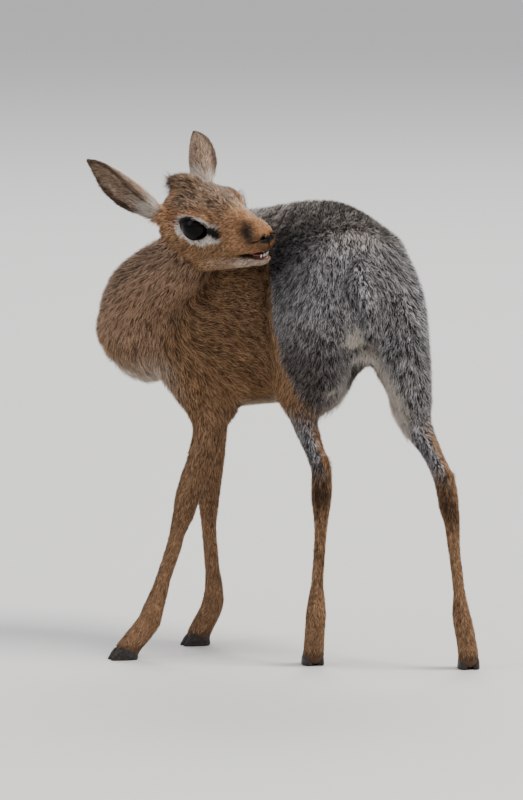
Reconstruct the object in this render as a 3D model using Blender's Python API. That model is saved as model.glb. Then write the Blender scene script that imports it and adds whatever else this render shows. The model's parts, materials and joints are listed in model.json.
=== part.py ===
"""A dik-dik: a small antelope, life size, standing with its head turned back to its flank.

Everything is laid out in millimetres on a plan grid: +X to the animal's hind end's right, +Y away
from it, +Z up, with the left hind foot at the grid's zero.  The part's own frame is that grid turned
by PLAN_TURN about Z, so that the animal faces -Y, and moved by PLAN_SHIFT to put the origin under
the middle of the animal on the floor.

The body is one smooth surface round a skeleton: each stretch of the body is a tube whose stations
give its centre and its half-sizes (side, front or top, back or bottom), and the stretches are melted
together with a stated blend width.  The surface is the outer face of the coat.  It is built whole,
thinned to a light mesh, and then parted with thin cuts into the named pieces.
"""

import math

import bmesh
import bpy
import numpy as np
from mathutils import Matrix, Vector

# ---------------------------------------------------------------- driving sizes, millimetres
PLAN_TURN = 120.0  # degrees from the plan grid to the part's frame
PLAN_SHIFT = (-25.1, 53.4)  # the plan-grid point under the middle of the animal, which is the part's origin
CELL = 3.6  # size of the cells that the surface is drawn through
HEAD_CELL = 2.0  # the same for the head
BODY_TRIANGLES = 3630  # after thinning, before the cuts
HEAD_TRIANGLES = 1790
HEAD_CLEAR = 1.5  # from the jaw and muzzle to the flank beside them
CUT_GAP = 0.45  # width of the cuts that part the body
EYE_R = 13.2  # eyeball radius
EYE_AT = (67.0, 20.6, 13.0)  # back from the nose tip, out from the middle, up
LID = 1.7  # how far the lids stand over the ball
EYE_OPEN = (12.6, 8.6)  # half the length and half the height between the lids
EYE_SLANT = 12.0  # degrees that the inner corner dips
EYE_LOOK = (0.44, 0.89, 0.08)  # forward, outward, up
SOCKET_CLEAR = 0.35
EAR_LENGTH = 78.0
EAR_WALL = 4.0  # thickness with its hair
HOOF_TOP = 10.6  # height of the hair line above the sole
HOOF_GAP = 0.4
CLAW_LENGTH, CLAW_WIDTH = 25.0, 8.6

# ---------------------------------------------------------------- the trunk, from rump to breast
# x, y, centre height, half-width, up to the back, down to the belly
TRUNK = [
    (41, -33, 330, 22, 24, 24),
    (37, -17, 330, 41, 47, 44),
    (30, 6, 332, 50, 62, 62),
    (19, 38, 326, 54, 75, 78),
    (2, 68, 318, 54, 81, 88),
    (-24, 95, 308, 55, 84, 90),
    (-58, 115, 300, 55, 85, 87),
    (-92, 127, 294, 52, 80, 86),
    (-122, 132, 286, 47, 71, 78),
    (-144, 131, 276, 38, 56, 60),
    (-158, 127, 266, 27, 38, 40),
]
NECK = [
    (-104, 130, 304, 36, 46, 50),
    (-128, 129, 286, 36, 46, 48),
    (-147, 125, 277, 34, 36, 38),
    (-156, 116, 284, 31, 32, 34),
    (-155, 103, 299, 30, 33, 34),
    (-147, 89, 315, 29, 33, 33),
    (-132, 77, 329, 28, 32, 31),
    (-117, 71, 341, 28, 30, 30),
    (-104, 72, 354, 26, 29, 29),
]
TAIL = [
    (40, -30, 352, 10, 9, 10),
    (42, -42, 337, 10, 8, 9),
    (46, -53, 320, 9, 7, 7),
    (47, -57, 305, 8, 6, 7),
    (47, -57, 293, 5, 4, 5),
]
# ---------------------------------------------------------------- the legs, top to bottom
# x, y, z, half-width across, to the front, to the back
SHOULDER_L = [
    (-96, 114, 345, 14, 20, 24),
    (-116, 104, 302, 19, 26, 30),
    (-124, 99, 268, 20, 24, 30),
    (-104, 96, 238, 19, 24, 28),
    (-88, 94, 216, 15, 20, 20),
]
FORELEG_L = [
    (-96, 97, 240, 17, 24, 26),
    (-89, 94, 212, 14.5, 19, 19),
    (-91, 89, 190, 11.5, 15.5, 15),
    (-98, 82, 168, 10, 13, 13),
    (-104, 76, 152, 10, 12.5, 12),
    (-109, 72, 138, 10, 11.5, 11.5),
    (-112.5, 69, 124, 8.8, 10, 10),
    (-117.7, 66, 108, 6.8, 7.6, 7.8),
    (-121.5, 63, 94, 6.5, 7.2, 7.5),
    (-129, 58, 72, 6.5, 6.9, 7.2),
    (-134, 55, 57, 7.6, 7.6, 8.6),
    (-139.5, 52, 42, 8.8, 9.0, 10.5),
    (-143, 50, 33, 9.0, 9.4, 11.5),
    (-149, 47, 24, 9.0, 10, 11),
    (-156, 44.5, 15, 9.2, 10.5, 10),
    (-160, 43, 8, 9.2, 12, 10),
]
SHOULDER_R = [
    (-96, 148, 345, 14, 20, 24),
    (-114, 160, 302, 19, 26, 30),
    (-122, 166, 268, 20, 24, 30),
    (-104, 167, 240, 19, 24, 26),
    (-90, 165, 220, 15, 18, 18),
]
FORELEG_R = [
    (-98, 166, 242, 17, 24, 24),
    (-90, 164, 216, 14.5, 18, 18),
    (-88, 161, 192, 11.5, 15, 14.5),
    (-88, 156, 168, 10, 13, 12.5),
    (-89.5, 152, 152, 10, 12, 12),
    (-90.5, 149, 138, 10, 11.5, 11),
    (-91, 146, 122, 8.6, 9.5, 9.5),
    (-91, 143, 104, 6.6, 7.2, 7.6),
    (-89.8, 140, 86, 6.4, 6.8, 7.2),
    (-88, 137, 66, 6.5, 7.0, 7.4),
    (-87, 135.5, 52, 7.6, 8.0, 8.8),
    (-87.5, 134, 40, 8.8, 9.2, 10.5),
    (-90, 132.5, 31, 9.0, 9.4, 11),
    (-94, 131, 22, 9.0, 10, 10.5),
    (-98, 130, 13, 9.2, 11, 10),
    (-99, 129.5, 8, 9.2, 12, 10),
]
THIGH_L = [
    (10, 20, 350, 24, 36, 40),
    (-2, 22, 316, 30, 48, 54),
    (-1, 27, 280, 30, 49, 54),
    (-3, 36, 252, 26, 42, 50),
    (-8, 38, 228, 18, 32, 34),
]
HINDLEG_L = [
    (-15, 62, 248, 17, 20, 18),
    (-13, 52, 231, 16, 19, 22),
    (-8, 34, 212, 12, 15, 17),
    (-3, 16, 197, 9.6, 12, 13),
    (2, 2, 184, 8.6, 10, 12),
    (6, -9, 172, 8.8, 10, 13.5),
    (7, -14, 160, 9.2, 11, 12.5),
    (6.8, -15, 147, 9.0, 11, 10.5),
    (6.6, -14.5, 133, 7.2, 8.6, 8.6),
    (6.0, -13.5, 116, 5.7, 7.2, 7.2),
    (4.8, -12, 96, 5.4, 6.8, 7.0),
    (3.4, -10, 75, 5.6, 7.0, 7.2),
    (2.8, -8.5, 60, 7.6, 8.0, 8.6),
    (2.2, -7, 47, 9.0, 9.4, 11),
    (1.6, -3, 36, 9.0, 9.6, 11),
    (1.0, 1.5, 25, 8.9, 10, 10.5),
    (0.5, 5.5, 15, 9.2, 10.5, 10),
    (0.2, 8, 8, 9.2, 12, 10),
]
THIGH_R = [
    (56, 36, 350, 22, 34, 38),
    (67, 28, 316, 28, 42, 52),
    (73, 24, 280, 27, 45, 52),
    (80, 24, 252, 22, 38, 44),
    (85, 27, 230, 17, 30, 32),
]
HINDLEG_R = [
    (82, 50, 246, 16, 20, 18),
    (83, 42, 230, 16, 19, 22),
    (87.5, 27, 214, 15, 17, 19),
    (93, 12, 201, 12, 13, 14),
    (98.5, 0, 192, 10, 11, 12.5),
    (104, -11, 182, 8.8, 10, 12),
    (110, -24, 169, 8.8, 10, 13),
    (114, -31, 156, 9.4, 11, 13),
    (116, -34, 143, 9.0, 11, 10.5),
    (118.5, -34.5, 129, 7.2, 8.8, 8.8),
    (120.5, -33.5, 106, 5.6, 7.2, 7.2),
    (123, -31.5, 86, 5.4, 6.8, 7.0),
    (125, -29.5, 68, 5.7, 7.0, 7.2),
    (126.6, -27.5, 51, 8.0, 8.6, 10),
    (129, -24, 38, 8.8, 9.4, 10.6),
    (131.3, -20, 26, 8.8, 10, 10),
    (133, -16.5, 15, 9.0, 10.5, 10),
    (133.5, -15, 8, 9.0, 12, 10),
]
TOES = {  # where each foot stands and which way its toes point
    "front_left": ((-163.0, 42.0), (-0.95, -0.31)),
    "front_right": ((-101.0, 129.0), (-0.93, -0.36)),
    "hind_left": ((-0.5, 10.5), (-0.30, 0.95)),
    "hind_right": ((133.5, -12.5), (-0.22, 0.975)),
}

# ---------------------------------------------------------------- the head, in its own axes
# Nose tip on the plan grid, and the head's forward, left and up directions.
NOSE = (-38.5, -8.0, 369.5)
HEAD_YAW, HEAD_PITCH, HEAD_ROLL = -48.0, -2.5, 16.5
# back from the nose: top, bottom, height of the widest place, half-width
HEAD = [
    (0, 4.6, -4.5, -1, 6.3),
    (1.5, 9.4, -7.5, -1, 9.0),
    (4, 12.8, -9.6, -1, 10.8),
    (9, 16.8, -12.0, -1, 13.0),
    (16, 19.6, -13.2, -1, 14.8),
    (24, 22.4, -14.5, -1, 16.2),
    (34, 26.5, -17.5, 0, 18.2),
    (44, 31.0, -22.0, 3, 21.4),
    (54, 35.6, -26.0, 7, 25.0),
    (63, 39.2, -29.5, 10, 28.2),
    (72, 42.0, -32.5, 11, 30.0),
    (82, 43.6, -35.0, 10, 30.6),
    (92, 43.0, -36.0, 8, 30.2),
    (102, 39.6, -34.0, 6, 29.0),
    (112, 33.0, -29.0, 4, 25.5),
    (120, 24.0, -20.0, 2, 18.5),
    (125, 14.0, -10.0, 2, 10.0),
]
# back, centre height, half-width, up, down
JAW = [
    (8.5, -17.8, 5.0, 3.2, 3.6),
    (13, -18.8, 7.2, 4.2, 5.0),
    (22, -19.4, 9.6, 5.0, 6.0),
    (34, -20.6, 12.0, 7.0, 7.2),
    (48, -22.0, 15.5, 9.0, 8.4),
    (64, -24.0, 18.5, 10.0, 9.0),
    (80, -26.0, 20.0, 11.0, 10.0),
]
# share of the length: half the width round the curve, radius of the curve
EAR = [
    (0.0, 9.0, 7.5),
    (0.12, 12.5, 9.5),
    (0.26, 18.5, 12.5),
    (0.42, 21.5, 15.0),
    (0.58, 20.2, 16.5),
    (0.74, 15.2, 17.5),
    (0.88, 7.8, 18.0),
    (1.0, 0.9, 18.0),
]
# root (back, out, up from the nose tip), its axis (back, out, up) and the way it opens (forward, out, up)
EAR_SET = {
    "right": ((106.0, 24.0, 22.0), (0.55, 0.44, 0.71), (0.25, 0.84, -0.52)),
    "left": ((106.0, 24.0, 22.0), (0.66, 0.60, 0.45), (0.25, 0.86, -0.42)),
}


def unit(v):
    v = np.asarray(v, float)
    return v / np.linalg.norm(v)


def head_axes():
    """Forward, left and up of the head on the plan grid."""
    y, p, r = (math.radians(a) for a in (HEAD_YAW, HEAD_PITCH, HEAD_ROLL))
    forward = np.array([math.cos(y) * math.cos(p), math.sin(y) * math.cos(p), math.sin(p)])
    level = np.array([-math.sin(y), math.cos(y), 0.0])
    up = np.cross(forward, level)
    left = math.cos(r) * level + math.sin(r) * up
    return forward, left, np.cross(forward, left)


FWD, LEFT, UP = head_axes()
NOSE_AT = np.array(NOSE, float)


def head_point(back, right, up):
    return NOSE_AT - back * FWD - right * LEFT + up * UP


def head_way(forward, right, up):
    return unit(forward * FWD - right * LEFT + up * UP)


# ---------------------------------------------------------------- smooth curves through stations
def through(rows, step):
    """Rows of numbers resampled along a smooth curve through them, about step apart in their first three."""
    rows = np.array(rows, float)
    ends = np.vstack([2 * rows[0] - rows[1], rows, 2 * rows[-1] - rows[-2]])
    found = []
    for i in range(1, len(ends) - 2):
        a, b, c, d = ends[i - 1 : i + 3]
        n = max(2, int(np.linalg.norm((c - b)[:3]) / step))
        t = (np.arange(n) / n)[:, None]
        found.append(0.5 * (2 * b + (c - a) * t + (2 * a - 5 * b + 4 * c - d) * t**2 + (3 * b - 3 * c + d - a) * t**3))
    found.append(rows[-1:])
    return np.vstack(found)


def eased(rows, at):
    """Columns of rows interpolated smoothly at the places of the first column."""
    rows = np.array(rows, float)
    x = rows[:, 0]
    i = np.clip(np.searchsorted(x, at) - 1, 0, len(x) - 2)
    h = x[i + 1] - x[i]
    t = np.clip((at - x[i]) / h, 0, 1)
    slope = np.gradient(rows[:, 1:], x, axis=0)
    out = []
    for c in range(rows.shape[1] - 1):
        y, m = rows[:, c + 1], slope[:, c]
        out.append(
            (2 * t**3 - 3 * t**2 + 1) * y[i] + (t**3 - 2 * t**2 + t) * h * m[i]
            + (-2 * t**3 + 3 * t**2) * y[i + 1] + (t**3 - t**2) * h * m[i + 1]
        )
    return out


# ---------------------------------------------------------------- shapes as distances
class Tube:
    """A bent tube whose section changes along it. facing is the way its third half-size points."""

    def __init__(self, rows, facing, step=3.0):
        s = through(rows, step)
        self.at, self.size = s[:, :3], s[:, 3:]
        way = np.gradient(self.at, axis=0)
        self.way = way / np.linalg.norm(way, axis=1)[:, None]
        face = np.asarray(facing, float)
        face = face - (self.way @ face)[:, None] * self.way
        self.face = face / np.linalg.norm(face, axis=1)[:, None]
        self.side = np.cross(self.face, self.way)
        reach = self.size.max()
        self.low, self.high = self.at.min(0) - reach, self.at.max(0) + reach

    def __call__(self, p):
        near = np.empty(len(p), int)
        for i in range(0, len(p), 60000):
            q = p[i : i + 60000]
            near[i : i + 60000] = np.argmin((self.at**2).sum(1) - 2 * q @ self.at.T, axis=1)
        last = len(self.at) - 1
        gap = p - self.at[near]
        along = (gap * self.way[near]).sum(1)
        other = np.clip(near + np.where(along > 0, 1, -1), 0, last)
        hop = np.linalg.norm(self.at[other] - self.at[near], axis=1)
        t = np.where(other == near, 0.0, np.clip(np.abs(along) / np.maximum(hop, 1e-6), 0, 1))[:, None]
        c = self.at[near] * (1 - t) + self.at[other] * t
        size = self.size[near] * (1 - t) + self.size[other] * t
        face = self.face[near] * (1 - t) + self.face[other] * t
        side = self.side[near] * (1 - t) + self.side[other] * t
        gap = p - c
        u, v = (gap * side).sum(1), (gap * face).sum(1)
        w = np.where(other == near, along, 0.0)
        a = size[:, 0]
        b = np.where(v > 0, size[:, 1], size[:, 2])
        cap = 0.8 * size.min(1)
        return egg(u, v, w, a, b, cap)


def egg(u, v, w, a, b, c):
    r2 = (u / a) ** 2 + (v / b) ** 2 + (w / c) ** 2
    r = np.sqrt(r2) + 1e-9
    g = np.sqrt((u / a**2) ** 2 + (v / b**2) ** 2 + (w / c**2) ** 2) + 1e-9
    return (r - 1) * np.minimum(r / g, np.maximum(np.maximum(a, b), c))


class Lump:
    """An egg with half-sizes along three ways at right angles."""

    def __init__(self, centre, sizes, ways=((1, 0, 0), (0, 1, 0), (0, 0, 1))):
        self.c, self.s = np.asarray(centre, float), sizes
        x = unit(ways[0])
        y = unit(np.asarray(ways[1], float) - np.dot(ways[1], x) * x)
        self.m = np.array([x, y, np.cross(x, y)])
        self.low, self.high = self.c - max(sizes), self.c + max(sizes)

    def __call__(self, p):
        u, v, w = ((p - self.c) @ self.m.T).T
        return egg(u, v, w, *(np.float64(s) for s in self.s))


class Skull:
    """The head above the mouth, as sections along its length."""

    low, high = NOSE_AT - 175, NOSE_AT + 175

    def __call__(self, p):
        q = p - NOSE_AT
        back, right, up = -(q @ FWD), -(q @ LEFT), q @ UP
        end = HEAD[-1][0]
        a = np.clip(back, 0, end)
        top, bottom, mid, wide = eased(HEAD, a)
        v = up - mid
        b = np.where(v > 0, top - mid, mid - bottom)
        n = np.where(v > 0, 2.15, 1.9)
        u, v = np.abs(right) / wide, np.abs(v) / b
        r = (u**n + v**n + 1e-12) ** (1 / n)
        g = r ** (1 - n) * np.sqrt((u ** (n - 1) / wide) ** 2 + (v ** (n - 1) / b) ** 2) + 1e-9
        d = (r - 1) * np.minimum(1 / g, np.maximum(wide, b))
        past = back - a
        return np.where(np.abs(past) > 1e-9, np.sqrt(np.maximum(d, 0) ** 2 + past**2), d)


class Ear:
    """A cupped leaf of even thickness."""

    def __init__(self, root, axis, opens, wall=EAR_WALL):
        self.root, self.axis, self.wall = root, unit(axis), wall
        o = np.asarray(opens, float)
        self.opens = unit(o - np.dot(o, self.axis) * self.axis)
        self.across = np.cross(self.axis, self.opens)
        tip = root + EAR_LENGTH * self.axis
        self.low, self.high = np.minimum(root, tip) - 38, np.maximum(root, tip) + 38

    def __call__(self, p):
        q = p - self.root
        s = q @ self.axis
        t = np.clip(s / EAR_LENGTH, 0, 1)
        half, curve = eased(EAR, t)
        half = np.maximum(half, 0.5)
        bow = 5.0 * np.sin(np.pi * t)  # the back of the ear bulges
        x, y = q @ self.across, q @ self.opens - curve + bow
        angle = np.arctan2(np.abs(x), -y)
        most = half / curve
        d_arc = np.abs(np.hypot(x, y) - curve)
        d_end = np.hypot(np.abs(x) - curve * np.sin(most), y + curve * np.cos(most))
        d = np.where(angle < most, d_arc, d_end)
        past = s - t * EAR_LENGTH
        return np.sqrt(d**2 + past**2) - self.wall / 2


def melt(a, b, k):
    h = np.maximum(k - np.abs(a - b), 0) / k
    return np.minimum(a, b) - h * h * k / 4


def carve(a, b, k):
    """a with b taken away."""
    return -melt(-a, b, k)


def leg_facing(name):
    x, y = TOES[name][1]
    return (x, y, 0.0)


def eye_at(side):
    return head_point(EYE_AT[0], side * EYE_AT[1], EYE_AT[2])


def eye_look(side):
    return head_way(EYE_LOOK[0], side * EYE_LOOK[1], EYE_LOOK[2])


def eye_axes(side):
    """The eye's own ways: towards the inner corner, up, and out."""
    look = eye_look(side)
    fore = FWD - (FWD @ look) * look
    fore = unit(fore)
    rise = np.cross(look, fore) * (1 if np.cross(look, fore) @ UP > 0 else -1)
    t = math.radians(EYE_SLANT)
    return math.cos(t) * fore - math.sin(t) * rise, math.cos(t) * rise + math.sin(t) * fore, look


def jaw_rows():
    rows = []
    for back, c, wide, up, down in JAW:
        rows.append((*head_point(back, 0, c), wide, up, down))
    return rows


def make_body():
    """The shapes in the order in which they are melted together, each with its blend width."""
    parts = [
        (Tube(TRUNK, (0, 0, 1)), 0),
        (Tube(THIGH_L, leg_facing("hind_left")), 22),
        (Tube(THIGH_R, leg_facing("hind_right")), 22),
        (Tube(SHOULDER_L, (-1, 0, 0)), 20),
        (Tube(SHOULDER_R, (-1, 0, 0)), 20),
        (Tube(HINDLEG_L, leg_facing("hind_left")), 12),
        (Tube(HINDLEG_R, leg_facing("hind_right")), 12),
        (Tube(FORELEG_L, leg_facing("front_left")), 12),
        (Tube(FORELEG_R, leg_facing("front_right")), 12),
        (Lump((-20, 74, 258), (13, 24, 26), ((1, 0.3, 0), (-0.3, 1, 0))), 20),  # flank fold
        (Lump((66, 62, 262), (13, 22, 24), ((1, 0.3, 0), (-0.3, 1, 0))), 20),
        (Tube(TAIL, (0, -1, 0)), 5),
        (Lump((10, -24.5, 177), (5.2, 5.5, 12), ((1, 0, 0), (0, 1, 0.25))), 6),  # point of the hock
        (Lump((116, -42.5, 166), (5.2, 5.5, 12), ((1, 0, 0), (0, 1, 0.25))), 6),
        (Lump((-76, 99, 217), (9, 9, 12)), 10),  # point of the elbow
        (Lump((-74, 167, 220), (9, 9, 12)), 10),
        (Lump((15, 27, 247), (17, 15, 27), ((1, 0, -0.22), (0, 1, 0))), 15),  # the hair behind the left thigh
        (Tube(NECK, (-0.3, -0.05, 0.95)), 14),
    ]
    head = [
        (Skull(), 0),
        (Tube(jaw_rows(), UP), 5),
        (Lump(head_point(66, 23.0, 25), (13, 6.5, 5.5), (head_way(1, -0.35, -0.25), head_way(0.3, 1, 0))), 7),  # brows
        (Lump(head_point(66, -23.0, 25), (13, 6.5, 5.5), (head_way(1, 0.35, -0.25), head_way(0.3, -1, 0))), 7),
        (Lump(head_point(97, 0, 42), (17, 11, 8), (FWD, LEFT)), 10),  # crest
    ]
    for side, (root, axis, opens) in EAR_SET.items():
        s = 1 if side == "right" else -1
        head.append((Ear(head_point(root[0], s * root[1], root[2]), head_way(-axis[0], s * axis[1], axis[2]),
                         head_way(opens[0], s * opens[1], opens[2])), 7))
    return parts, head


PARTS, HEAD_PARTS = make_body()
NECK_PIECE = Tube(NECK[3:], (-0.3, -0.05, 0.95))


def joined(p, parts, reach):
    d = np.full(len(p), 1e3)
    for shape, k in parts:
        m = reach + k
        inside = ((p > shape.low - m) & (p < shape.high + m)).all(1)
        if inside.any():
            q = shape(p[inside])
            d[inside] = melt(d[inside], q, k) if k else np.minimum(d[inside], q)
    return d


HEAD_CUT = (head_point(107, 0, -6), head_way(0.9, 0, 0.43))  # behind the jaw and the ears


def body(p, reach=12.0):
    """Distance to the coat's outer face without the head, which ends a little past its cut."""
    trunk = joined(p, PARTS[:-1], reach)
    past = (p - HEAD_CUT[0]) @ HEAD_CUT[1]
    skull = joined(p, HEAD_PARTS[:2], reach + 15)
    tube = joined(p, [(PARTS[-1][0], 0)], reach + 15)
    neck = melt(tube, np.maximum(skull, past - 8.0), 9.0)
    # past its cut, the back and the head that lies along it press each other flat
    whole_head = melt(tube, skull, 9.0)
    apart = np.minimum(np.maximum(trunk, trunk - whole_head + HEAD_CLEAR), np.maximum(neck, neck - trunk + HEAD_CLEAR))
    return np.where(past > 0.0, apart, melt(trunk, neck, 14.0))


def neck_alone(p):
    return melt(PARTS[-1][0](p), np.maximum(HEAD_PARTS[0][0](p), (p - HEAD_CUT[0]) @ HEAD_CUT[1] - 8.0), 9.0)


def crease(p, reach=12.0):
    """Zero half-way between the neck and what it lies against."""
    neck = NECK_PIECE(p)
    rest = np.minimum(np.minimum(PARTS[0][0](p), PARTS[3][0](p)), PARTS[8][0](p))
    return neck - rest


def head(p, reach=12.0):
    """Distance to the coat's outer face of the head and the neck behind it."""
    d = melt(joined(p, [(PARTS[-1][0], 0)], reach), joined(p, HEAD_PARTS, reach), 9.0)
    d = np.maximum(d, (HEAD_CUT[0] - p) @ HEAD_CUT[1] - 9.0)  # a little behind the cut is enough
    d = np.maximum(d, d - joined(p, PARTS[:-1], reach + 15) + HEAD_CLEAR)
    q = p - NOSE_AT
    back, right, up = -(q @ FWD), -(q @ LEFT), q @ UP
    for side in (-1, 1):  # the lids stand round the ball and leave an almond between them
        g = p - eye_at(side)
        close = (g**2).sum(1) < 30**2
        if close.any():
            g = g[close]
            fore, rise, look = eye_axes(side)
            a, b, c = g @ fore, g @ rise, g @ look
            lids = melt(d[close], np.sqrt((g**2).sum(1)) - EYE_R - LID, 7.0)
            almond = (np.sqrt((a / EYE_OPEN[0]) ** 2 + (b / EYE_OPEN[1]) ** 2) - 1) * EYE_OPEN[1]
            d[close] = carve(lids, np.maximum(almond, 0.45 * EYE_R - c), 1.0)
    near = (np.abs(back - 20) < 40) & (np.abs(right) < 40)
    if near.any():  # the mouth: a slit to its corner, open a little in front
        b, r, u = back[near], right[near], up[near]
        line = -14.4 - 0.035 * b
        gap = np.interp(b, [2, 8, 20, 34], [2.6, 2.4, 0.9, 0.3])
        slit = np.maximum(np.abs(u - line) - gap, np.maximum(b - 33, -b - 2))
        d[near] = carve(d[near], slit, 0.8)
    return d


# ---------------------------------------------------------------- from distances to a mesh
def cells_near(shape, size, low, high, levels):
    """The cells of the finest size that the surface may cross, found by halving larger ones."""
    step = size * 2**levels
    n = np.ceil((high - low) / step).astype(int)
    cells = np.stack(np.meshgrid(*(np.arange(k) for k in n), indexing="ij"), -1).reshape(-1, 3)
    for level in range(levels, -1, -1):
        step = size * 2**level
        d = shape(low + (cells + 0.5) * step, reach=step * 1.3 + 12)
        cells = cells[np.abs(d) < step * 1.5 + 3.0]
        if level:
            cells = (cells[:, None] * 2 + np.array([(i, j, k) for i in (0, 1) for j in (0, 1) for k in (0, 1)])).reshape(-1, 3)
    return cells


def key(c):
    return (c[:, 0] * 4096 + c[:, 1]) * 4096 + c[:, 2]


def surface(shape, size, low, high, levels=3):
    """Vertices and quads of the surface, by one vertex in each cell that it crosses."""
    cells = cells_near(shape, size, low, high, levels)
    corner = np.array([(i, j, k) for i in (0, 1) for j in (0, 1) for k in (0, 1)])
    axes = np.eye(3, dtype=int)
    for _ in range(12):
        all_corners = (cells[:, None] + corner).reshape(-1, 3)
        names, first, back = np.unique(key(all_corners), return_index=True, return_inverse=True)
        value = shape(low + all_corners[first] * size)
        v = value[back.reshape(-1)].reshape(-1, 8)
        crossed = (v < 0).any(1) & (v >= 0).any(1)
        cells, v = cells[crossed], v[crossed]
        order = np.argsort(key(cells))
        cells, v = cells[order], v[order]
        keys = key(cells)
        rings, missing = [], []
        for axis in range(3):
            o1, o2 = axes[(axis + 1) % 3], axes[(axis + 2) % 3]
            a, b = v[:, 0], v[:, 4 >> axis]
            cut = (a < 0) != (b < 0)
            c = cells[cut]
            around = (c, c - o1, c - o1 - o2, c - o2)
            ring = [np.minimum(np.searchsorted(keys, key(x)), len(keys) - 1) for x in around]
            there = [keys[r] == key(x) for r, x in zip(ring, around)]
            missing += [x[~t] for x, t in zip(around, there)]
            q = np.stack(ring, 1)[np.all(there, axis=0)]
            turned = (a[cut] >= 0)[np.all(there, axis=0)]
            q[turned] = q[turned][:, ::-1]
            rings.append(q)
        missing = np.vstack(missing)
        if not levels or not len(missing):
            break
        missing = missing[np.unique(key(missing), return_index=True)[1]]
        cells = np.vstack([cells, missing])  # the ring is closed with the cells that were passed over
    total, count = np.zeros((len(cells), 3)), np.zeros(len(cells))
    for i in range(8):
        for axis in range(3):
            j = i | (4 >> axis)
            if j == i:
                continue
            a, b = v[:, i], v[:, j]
            cut = (a < 0) != (b < 0)
            t = a[cut] / (a[cut] - b[cut])
            total[cut] += corner[i] + t[:, None] * (corner[j] - corner[i])
            count[cut] += 1
    return low + (cells + total / count[:, None]) * size, np.vstack(rings)


def settle(shape, points, rounds=2, e=0.05):
    """Moves points onto the surface along its slope."""
    for _ in range(rounds):
        d = shape(points)
        g = np.stack([(shape(points + e * a) - d) / e for a in np.eye(3)], 1)
        g2 = np.maximum((g**2).sum(1), 0.25)
        points = points - (np.clip(d, -3, 3) / g2)[:, None] * g
    return points


# ---------------------------------------------------------------- the part's frame and materials
TURN = math.radians(PLAN_TURN)
SHIFT = np.array([-PLAN_SHIFT[0], -PLAN_SHIFT[1], 0.0])
PLAN = np.array([[math.cos(TURN), -math.sin(TURN), 0], [math.sin(TURN), math.cos(TURN), 0], [0, 0, 1]])


def to_part(p):
    """Plan-grid millimetres to the part's frame in metres."""
    return ((np.atleast_2d(p) - [PLAN_SHIFT[0], PLAN_SHIFT[1], 0.0]) @ PLAN.T) / 1000


def from_part(p):
    return (np.asarray(p) * 1000) @ PLAN + [PLAN_SHIFT[0], PLAN_SHIFT[1], 0.0]


def way_to_part(v):
    return np.asarray(v, float) @ PLAN.T


COLOURS = {
    "coat_tan": ((0.36, 0.21, 0.11, 1), 0.85),
    "coat_grey": ((0.20, 0.18, 0.16, 1), 0.85),
    "eye": ((0.012, 0.009, 0.008, 1), 0.08),
    "hoof": ((0.03, 0.027, 0.025, 1), 0.45),
}


def material(name):
    m = bpy.data.materials.get(name)
    if m is None:
        m = bpy.data.materials.new(name)
        m.use_nodes = True
        shader = m.node_tree.nodes["Principled BSDF"]
        shader.inputs["Base Color"].default_value = COLOURS[name][0]
        shader.inputs["Roughness"].default_value = COLOURS[name][1]
        shader.inputs["Metallic"].default_value = 0.0
    return m


def mesh_object(name, points, faces, colour, smooth=True):
    mesh = bpy.data.meshes.new(name)
    mesh.from_pydata([tuple(p) for p in points], [], [tuple(int(i) for i in f) for f in faces])
    mesh.materials.append(material(colour))
    ob = bpy.data.objects.new(name, mesh)
    bpy.context.scene.collection.objects.link(ob)
    if smooth:
        mesh.shade_smooth()
    return ob


def applied(ob):
    """The object with its modifiers turned into its mesh."""
    graph = bpy.context.evaluated_depsgraph_get()
    mesh = bpy.data.meshes.new_from_object(ob.evaluated_get(graph))
    ob.modifiers.clear()
    ob.data = mesh
    return ob


# ---------------------------------------------------------------- cutters
def fitted(shape, centre, normal, across, room=70.0):
    """A slab just wider than the section that its plane takes of a shape round its centre."""
    n = unit(normal)
    a = np.asarray(across, float)
    a = unit(a - (a @ n) * n)
    b = np.cross(n, a)
    step = 1.5
    k = int(room / step)
    i, j = np.meshgrid(np.arange(-k, k + 1), np.arange(-k, k + 1), indexing="ij")
    at = np.asarray(centre, float) + step * (i[..., None] * a + j[..., None] * b)
    solid = (shape(at.reshape(-1, 3)) < 1.0).reshape(i.shape)
    region = np.zeros_like(solid)
    region[k, k] = True
    while True:  # the part of the section that is joined to the centre
        grown = region.copy()
        grown[1:] |= region[:-1]
        grown[:-1] |= region[1:]
        grown[:, 1:] |= region[:, :-1]
        grown[:, :-1] |= region[:, 1:]
        grown &= solid
        if (grown == region).all():
            break
        region = grown
    u, v = i[region] * step, j[region] * step
    if max(abs(u).max(), abs(v).max()) > room - 4:
        print("the cut at", centre, "leaves its room", u.min(), u.max(), v.min(), v.max())
    middle = np.asarray(centre, float) + 0.5 * (u.min() + u.max()) * a + 0.5 * (v.min() + v.max()) * b
    return slab(middle, n, a, (u.max() - u.min() + 7, v.max() - v.min() + 7))


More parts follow.
